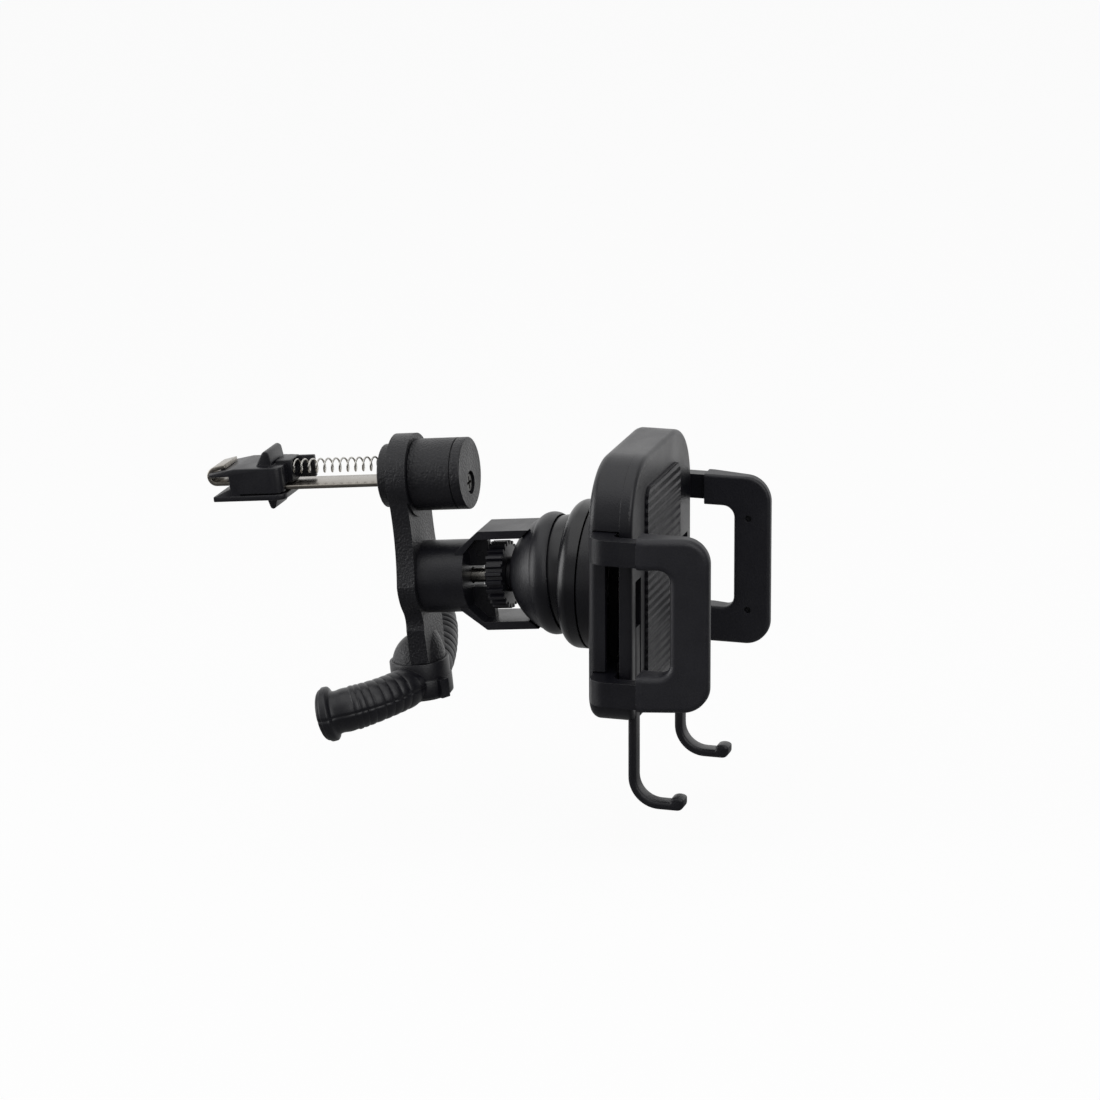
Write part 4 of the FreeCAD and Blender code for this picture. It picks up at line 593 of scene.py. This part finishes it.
brace_foot = turned("brace_foot", COLLAR_OUTLINE, COLLAR, foot_rubber)
knee_angles = [math.pi * step / KNEE_STEPS for step in range(1, KNEE_STEPS)]
knee_outline = [(KNEE_RADIUS * math.sin(angle), -KNEE_DROP - KNEE_RADIUS * math.cos(angle))
                for angle in knee_angles]
carve(brace_foot, turned("knee", knee_outline, COLLAR, foot_rubber), "UNION")
lug_frame = Matrix.Translation(COLLAR) @ Matrix.Rotation(LUG_TURN, 4, "Z")
lug_view = oblong(LUG_REACH - LUG_HALF_LENGTH, LUG_REACH + LUG_HALF_LENGTH,
                  -LUG_HALF_WIDTH, LUG_HALF_WIDTH)
lug = prism("lug", lug_view, "z", LUG_LOW, LUG_HIGH, LUG_ROUND, foot_rubber, lug_frame)
carve(brace_foot, lug, "UNION")
for name, path in LEG_PATHS.items():
    start, middle, end = [tuple(COLLAR + Vector(point) * MM) for point in path]
    leg = grow(f"{name}_leg", leg_tree, {
        "Start": start, "Middle": middle, "End": end, "Radius": LEG_END_RADIUS,
        "Ribs": float(RIBS), "Rib height": RIB_HEIGHT, "Seam depth": SEAM_DEPTH,
    })
    carve(brace_foot, leg, "UNION")
for name, radius, floor_mm in (
    ("bore", BORE_RADIUS, BORE_FLOOR),
    ("arm_room", ARM_ROOM_RADIUS, ARM_ROOM_FLOOR),
):
    cutter = turned(name, ((radius, floor_mm), (radius, CUT_TOP)), COLLAR, foot_rubber)
    carve(brace_foot, cutter, "DIFFERENCE")
crease(brace_foot)
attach(brace_foot, "foot")
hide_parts("support_foot")
print(f"brace foot: {len(brace_foot.data.polygons)} faces")

# %% [markdown]
# ## The J feet
# A phone stands on two J-shaped strips that slide up into the front plate. On the real ones every edge is
# rounded, and the toe ends in a soft bead. Their side view is a loop of lines and arcs, so each foot is
# that loop, pushed out to its width and bevelled all round.

# %% J feet
DOME = Vector((0.0, -90.9, -28.8)) * MM
TILT = math.radians(5.9)
dome_frame = Matrix.Translation(DOME) @ Matrix.Rotation(TILT, 4, "X")
# From here on, millimetres from the dome's centre, in the cradle's own tilted frame
FRONT = -23.2
STRIP = 2.1
LOW = -53.0
BEND = 8.0
TOE = -35.5
BEAD = 3.4
# The bead's upper half starts this high above the foot's lowest line, and is flattened to this share
TOE_RISE = 2.7
TOE_FLAT = 0.5
CROOK = 0.4
FOOT_TOP = -6.0
FOOT_ACROSS = 22.3
FOOT_WIDTH = 4.6
FOOT_ROUND = 0.7

elbow_y = FRONT + STRIP - BEND
elbow_z = LOW + BEND
bead_y = TOE + BEAD / 2
side_view = [(FRONT + STRIP, FOOT_TOP), (FRONT, FOOT_TOP)]
side_view += bend(elbow_y, elbow_z, BEND - STRIP, 0, -90)
side_view += bend(TOE + BEAD + CROOK, LOW + STRIP + CROOK, CROOK, -90, -180, 4)
side_view += [(y, LOW + TOE_RISE + TOE_FLAT * z) for y, z in bend(bead_y, 0.0, BEAD / 2, 0, 180, 14)]
side_view += bend(bead_y, LOW + BEAD / 2, BEAD / 2, 180, 270, 8)
side_view += bend(elbow_y, elbow_z, BEND, -90, 0, 14)
for side, sign in (("left", -1), ("right", 1)):
    middle = sign * FOOT_ACROSS
    strip = prism(f"{side}_toe_strip", side_view, "x", middle - FOOT_WIDTH / 2, middle + FOOT_WIDTH / 2,
                  FOOT_ROUND, satin_abs, dome_frame)
    crease(strip)
    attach(strip, f"{side}_rest")
    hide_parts(f"{side}_foot")
    print(f"{strip.name}: {len(strip.data.polygons)} faces")

# %% [markdown]
# ## The bent strip
# The steel strip steps up behind the jaw and is bent back on itself into an open hook. A press brake
# leaves round bends and slightly rolled edges, so it is one side view, drawn with arcs along its inner
# and outer face.

# %% Bent strip
STRIP_HALF = 4.8
STRIP_ROUND = 0.22
GAUGE = 1.05
STRIP_ROOT = -50.5
# The upper face is lower behind the step than in front of it
STRIP_SINK = -2.55
STRIP_FACE = -1.05
STEP_BACK = -10.5
STEP_FRONT = -6.5
HOOK_OUTER = 2.5
HOOK_Y = 1.0
# The bend ends at this angle, and the upper leg goes on straight from there
HOOK_OPEN = 78
HOOK_LEG = 3.2
HOOK_STEPS = 22

hook_z = STRIP_FACE - GAUGE + HOOK_OUTER
leg_angle = math.radians(HOOK_OPEN)
leg_run = Vector((-math.sin(leg_angle), math.cos(leg_angle))) * HOOK_LEG
outer_face = bend(HOOK_Y, hook_z, HOOK_OUTER, -90, HOOK_OPEN, HOOK_STEPS)
inner_face = bend(HOOK_Y, hook_z, HOOK_OUTER - GAUGE, HOOK_OPEN, -90, HOOK_STEPS)
upper_face = [(STEP_FRONT, STRIP_FACE), (STEP_BACK, STRIP_SINK), (STRIP_ROOT, STRIP_SINK)]
lower_face = [(y, z - GAUGE) for y, z in reversed(upper_face)]
leg_end = [tuple(Vector(outer_face[-1]) + leg_run), tuple(Vector(inner_face[0]) + leg_run)]
strip_view = lower_face + outer_face + leg_end + inner_face + upper_face
bent_strip = prism("bent_strip", strip_view, "x", -STRIP_HALF, STRIP_HALF, STRIP_ROUND, rolled_steel)
crease(bent_strip)
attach(bent_strip, "hook")
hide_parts("hook_strip")
print(f"bent strip: {len(bent_strip.data.polygons)} faces")

# %% [markdown]
# ## The sprung jaw
# The jaw slides on the strip and pinches a louvre of the vent between its prongs and the hook. On the
# real one it is one moulding: a block with round back corners, a plate under it behind a fine groove, a
# finger tab above and below, and a wall beside the spring. Each of these is a side view or a plan pushed
# out with rounded rims. They are joined, and then the strip's way, the hook's room, the groove and the
# spring's pocket are cut.

# %% Outlines of the sprung jaw
# Side views give millimetres along Y and up, plans give millimetres across and along Y
JAW_HALF = 7.8
JAW_FLOOR = -4.3
NOSE_VIEW = (
    (1.9, 0.9), (1.9, 1.7), (-5.2, 2.9), (-14.4, 2.9), (-14.4, JAW_FLOOR), (-3.5, JAW_FLOOR), (-3.5, 0.9),
)
PRONG_VIEW = ((1.2, -5.5), (1.2, -4.4), (-3.7, -2.3), (-3.7, -5.5))
UPPER_TAB = [(-9.6, 1.8), *bend(-13.1, 5.5, 1.1, 35, 165, 6), (-14.9, 1.0)]
LOWER_TAB = [(-12.0, -5.3), *bend(-13.55, -7.85, 0.75, -15, -165, 6), (-15.2, -5.3)]
LANE_HALF = 5.1
LANE_VIEW = ((-25.0, -3.9), (3.0, -3.9), (3.0, -0.75), (-6.3, -0.75), (-10.7, -2.25), (-25.0, -2.25))
PLATE_TOP = -4.15
GROOVE = (PLATE_TOP, PLATE_TOP + 0.45)
NOSE_ROUND = 0.3
JAW_ROUND = 0.25
SHARP = 0.0
# Joined blocks differ in width by a hair, so that a boolean never meets two faces in one plane
HAIR = 0.03
PRONG_HALF = JAW_HALF - 0.05


def back_rounded(half, back, front, corner):
    """A plan with two rounded corners at its back."""
    plan = [(-half, front), (half, front)]
    plan += bend(half - corner, back + corner, corner, 0, -90)
    return plan + bend(corner - half, back + corner, corner, -90, -180)


print(f"sprung jaw: {2 * JAW_HALF:.1f} mm wide, groove {GROOVE[1] - GROOVE[0]:.2f} mm high")

# %% Sprung jaw
JOINED = (
    ("jaw_back", back_rounded(JAW_HALF - HAIR, -17.7, -13.0, 2.2), "z", JAW_FLOOR, 2.85),
    ("jaw_plate", back_rounded(JAW_HALF + HAIR, -18.2, 1.2, 2.4), "z", -5.6, PLATE_TOP),
    ("jaw_prongs", PRONG_VIEW, "x", -PRONG_HALF, PRONG_HALF),
    ("upper_tab", UPPER_TAB, "x", -5.0, 5.0),
    ("lower_tab", LOWER_TAB, "x", -4.7, 4.7),
    ("spring_seat", oblong(-2.9, 3.55, -19.2, -15.0), "z", -2.2, 3.75),
    ("spring_wall", oblong(2.6, 3.6, -23.6, -16.7), "z", -2.15, 3.6),
)
CUT = (
    ("strip_lane", LANE_VIEW, "x", -LANE_HALF, LANE_HALF),
    ("hook_room", oblong(-0.4, 3.0, -2.4, 4.0), "x", -LANE_HALF, LANE_HALF),
    ("near_groove", oblong(-9.0, -6.4, -19.0, -6.2), "z", *GROOVE),
    ("far_groove", oblong(6.4, 9.0, -19.0, -6.2), "z", *GROOVE),
    ("back_groove", oblong(-9.0, 9.0, -19.0, -16.4), "z", *GROOVE),
    ("spring_pocket", bend(0.0, 1.4, 2.1, 0, 350, 35), "y", -20.0, -15.3),
)
sprung_jaw = prism("sprung_jaw", NOSE_VIEW, "x", -JAW_HALF, JAW_HALF, NOSE_ROUND, satin_abs)
for operation, round_mm, blocks in (("UNION", JAW_ROUND, JOINED), ("DIFFERENCE", SHARP, CUT)):
    for block in blocks:
        carve(sprung_jaw, prism(*block, round_mm, satin_abs), operation)
crease(sprung_jaw)
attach(sprung_jaw, "clip")
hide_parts("clip_jaw")
print(f"sprung jaw: {len(sprung_jaw.data.polygons)} faces")

# %% [markdown]
# ## The bolt's thread
# Between the barrel and the thumb wheel the bolt shows through the slot in the web: a bright shank, and a
# darker thread next to the wheel. The thread is again a helix, with a small pointed section of four
# sides, so the spring's tree draws it.

# %% Thread
BOLT_RADIUS = 1.85 * MM
PITCH = 0.52 * MM
THREAD_LENGTH = 2.2 * MM
RIDGE = 0.24 * MM
THREAD_STEPS = 36
RIDGE_SIDES = 4
low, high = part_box("draw_bolt")
wheel_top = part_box("thumb_wheel")[1]
bolt_axis = Vector(((low.x + high.x) / 2, wheel_top.y, (low.z + high.z) / 2))
bolt_thread = grow("bolt_thread", helix_tree("thread", THREAD_STEPS, RIDGE_SIDES, dark_steel), {
    "Turns": THREAD_LENGTH / PITCH,
    "Length": THREAD_LENGTH,
    "Helix radius": BOLT_RADIUS,
    "Section radius": RIDGE,
}, Matrix.Translation(bolt_axis) @ Z_TO_Y)
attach(bolt_thread, "arm")
print(f"thread: {THREAD_LENGTH / PITCH:.1f} turns")

# %% [markdown]
# ## Marks of the ejector pins
# When a moulding leaves its tool, round pins push it out, and each leaves a faint ring. Two of them show
# on the web between the straps. They are one ring set on two points, so the tree places a thin ring on a
# line of points.

# %% Ejector marks
WEB_MIDDLE = Vector((-1.2, -66.8, -28.8)) * MM
MARK_RADIUS = 0.85 * MM
MARK_RIDGE = 0.09 * MM
MARK_SPREAD = Vector((0.0, 0.0, 11.7)) * MM
MARKS = 2
MARK_STEPS = 40
MARK_SIDES = 8
FACING_X = (0.0, math.pi / 2, 0.0)
marks_tree, size = new_tree("pin_marks", {
    "Radius": VALUE, "Ridge": VALUE, "Spread": POINT, "Lowest": POINT,
})
line = add(marks_tree, "GeometryNodeMeshLine", {
    "Count": MARKS, "Start Location": size["Lowest"], "Offset": size["Spread"],
})
loop = add(marks_tree, "GeometryNodeCurvePrimitiveCircle", {
    "Resolution": MARK_STEPS, "Radius": size["Radius"],
})
bead = add(marks_tree, "GeometryNodeCurvePrimitiveCircle", {
    "Resolution": MARK_SIDES, "Radius": size["Ridge"],
})
mark = add(marks_tree, "GeometryNodeCurveToMesh", {
    "Curve": loop.outputs["Curve"], "Profile Curve": bead.outputs["Curve"],
})
placed = add(marks_tree, "GeometryNodeInstanceOnPoints", {
    "Points": line.outputs["Mesh"], "Instance": mark.outputs["Mesh"], "Rotation": FACING_X,
})
close_tree(marks_tree, placed.outputs["Instances"], satin_abs)
pin_marks = grow("pin_marks", marks_tree, {
    "Radius": MARK_RADIUS, "Ridge": MARK_RIDGE, "Spread": MARK_SPREAD,
    "Lowest": WEB_MIDDLE - MARK_SPREAD / 2,
})
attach(pin_marks, "arm")
print("pin marks:", len(pin_marks.data.polygons), "faces")

# %% [markdown]
# ## Studio
# The mount hangs in white space. The floor and the world are pale, and a ray that the camera sends meets
# white. A mirrored ray meets that white only behind the mount. On the camera's side the room is dark, as
# it is in a studio, so that the black plastic keeps its depth. Three large soft lamps draw the
# highlights: one above, one on the left, which models the bell and the foot, and a weak one on the
# camera's side.

# %% World and lamps
EYE = Vector((-1.17257, -0.46814, 0.28203))
TURN = Euler([math.radians(angle) for angle in (76.0445, 5.9153, -73.3819)])
sight = TURN.to_matrix() @ Vector((0.0, 0.0, -1.0))
# How bright mirrored rays find the room on the camera's side and behind the mount, and where it changes
DARK_SIDE = 0.08
WHITE_SIDE = 1.0
FADE_START = -0.1
SKY_FADE_END = 0.45
# What the world gives to all other rays
SKY_LIGHT = 0.35

world = bpy.data.worlds.new("studio")
bpy.context.scene.world = world
world.use_nodes = True
tree = world.node_tree
tree.nodes.clear()
path = add(tree, "ShaderNodeLightPath").outputs
seen = add(tree, "ShaderNodeMath", {
    0: path["Is Camera Ray"], 1: path["Is Transmission Ray"],
}, operation="MAXIMUM")
ray = add(tree, "ShaderNodeTexCoord").outputs["Generated"]
facing = add(tree, "ShaderNodeVectorMath", {0: ray, 1: sight}, operation="DOT_PRODUCT")
backdrop = add(tree, "ShaderNodeMapRange", {
    "Value": facing.outputs["Value"], "From Min": FADE_START, "From Max": SKY_FADE_END,
    "To Min": DARK_SIDE, "To Max": WHITE_SIDE,
}, interpolation_type="SMOOTHSTEP")
mirrored = add(tree, "ShaderNodeMath", {
    0: backdrop.outputs["Result"], 1: path["Is Glossy Ray"],
}, operation="MULTIPLY")
shown = add(tree, "ShaderNodeMath", {0: seen.outputs[0], 1: mirrored.outputs[0]}, operation="MAXIMUM")
bright = add(tree, "ShaderNodeMath", {0: shown.outputs[0], 1: SKY_LIGHT}, operation="MAXIMUM")
sky = add(tree, "ShaderNodeBackground", {"Color": tint("ffffff"), "Strength": bright.outputs[0]})
add(tree, "ShaderNodeOutputWorld", {"Surface": sky.outputs["Background"]})

# Each lamp's place in metres, its width and its power
SOFTBOXES = {
    "top_softbox": ((-0.15, -0.10, 0.75), 1.0, 2.7),
    "left_softbox": ((-0.30, 0.75, 0.22), 0.6, 3.3),
    "side_softbox": ((-0.55, -0.65, 0.35), 0.6, 1.7),
}
CENTRE = Vector((0.0, -0.07, -0.03))
for name, (place, width, power) in SOFTBOXES.items():
    light = bpy.data.lights.new(name, "AREA")
    light.size = width
    light.energy = power
    lamp = put(name, light)
    lamp.location = place
    lamp.rotation_euler = (CENTRE - Vector(place)).to_track_quat("-Z", "Y").to_euler()
print("studio: white backdrop along", [round(value, 2) for value in sight])

# %% [markdown]
# ## Floor
# The floor is a sheet of white paper that keeps the mount's soft shadow. For the camera it glows almost
# as brightly as the world, so that no horizon shows, and mirrored rays find it dark on the camera's side,
# as they find the world. The J feet slide 6 mm below the lowest point at rest, so the floor lies a little
# lower.

# %% Floor
FLOOR_DROP = 12.0 * MM
FLOOR_HALF = 2.6
FLOOR_FADE_END = 0.35
# The share of white glow that the camera sees; the rest is paper, with the shadow on it
PAPER_GLOW = 0.94
lowest = cad_box[0][2] - FLOOR_DROP

paper = bpy.data.materials.new("white_paper")
paper.use_nodes = True
tree = paper.node_tree
tree.nodes.clear()
path = add(tree, "ShaderNodeLightPath").outputs
spot = add(tree, "ShaderNodeTexCoord").outputs["Object"]
depth = add(tree, "ShaderNodeVectorMath", {0: spot, 1: sight}, operation="DOT_PRODUCT")
behind = add(tree, "ShaderNodeMapRange", {
    "Value": depth.outputs["Value"], "From Min": FADE_START, "From Max": FLOOR_FADE_END,
    "To Min": DARK_SIDE, "To Max": WHITE_SIDE,
}, interpolation_type="SMOOTHSTEP")
mirrored = add(tree, "ShaderNodeMath", {
    0: behind.outputs["Result"], 1: path["Is Glossy Ray"],
}, operation="MULTIPLY")
strength = add(tree, "ShaderNodeMath", {
    0: mirrored.outputs[0], 1: path["Is Camera Ray"],
}, operation="MAXIMUM")
glow = add(tree, "ShaderNodeEmission", {"Color": tint("ffffff"), "Strength": strength.outputs[0]})
matte = add(tree, "ShaderNodeBsdfDiffuse", {"Color": tint("f2f2f2")})
white = add(tree, "ShaderNodeMath", {0: path["Is Camera Ray"], 1: PAPER_GLOW}, operation="MULTIPLY")
share = add(tree, "ShaderNodeMath", {0: white.outputs[0], 1: path["Is Glossy Ray"]}, operation="MAXIMUM")
mixed = add(tree, "ShaderNodeMixShader", {0: share.outputs[0], 1: matte.outputs[0], 2: glow.outputs[0]})
add(tree, "ShaderNodeOutputMaterial", {"Surface": mixed.outputs[0]})

work = bmesh.new()
square = oblong(-FLOOR_HALF, FLOOR_HALF, -FLOOR_HALF, FLOOR_HALF)
work.faces.new([work.verts.new((x, y, lowest)) for x, y in square])
floor = as_piece("floor", work, paper)
print("floor at", round(lowest / MM, 1), "mm")

# %% [markdown]
# ## Camera
# The camera stands to the left and above, with a long lens, so that lines hardly converge. Its place
# comes from a fit to straight edges and known sizes in the picture.

# %% Camera
SENSOR_MM = 36.0
LENS_MM = 163.636
view = bpy.data.cameras.new("camera")
view.sensor_width = SENSOR_MM
view.lens = LENS_MM
camera = put("camera", view)
camera.location = EYE
camera.rotation_euler = TURN
bpy.context.scene.camera = camera
bpy.context.scene.view_settings.view_transform = "Standard"
print("camera at", [round(value, 3) for value in EYE])
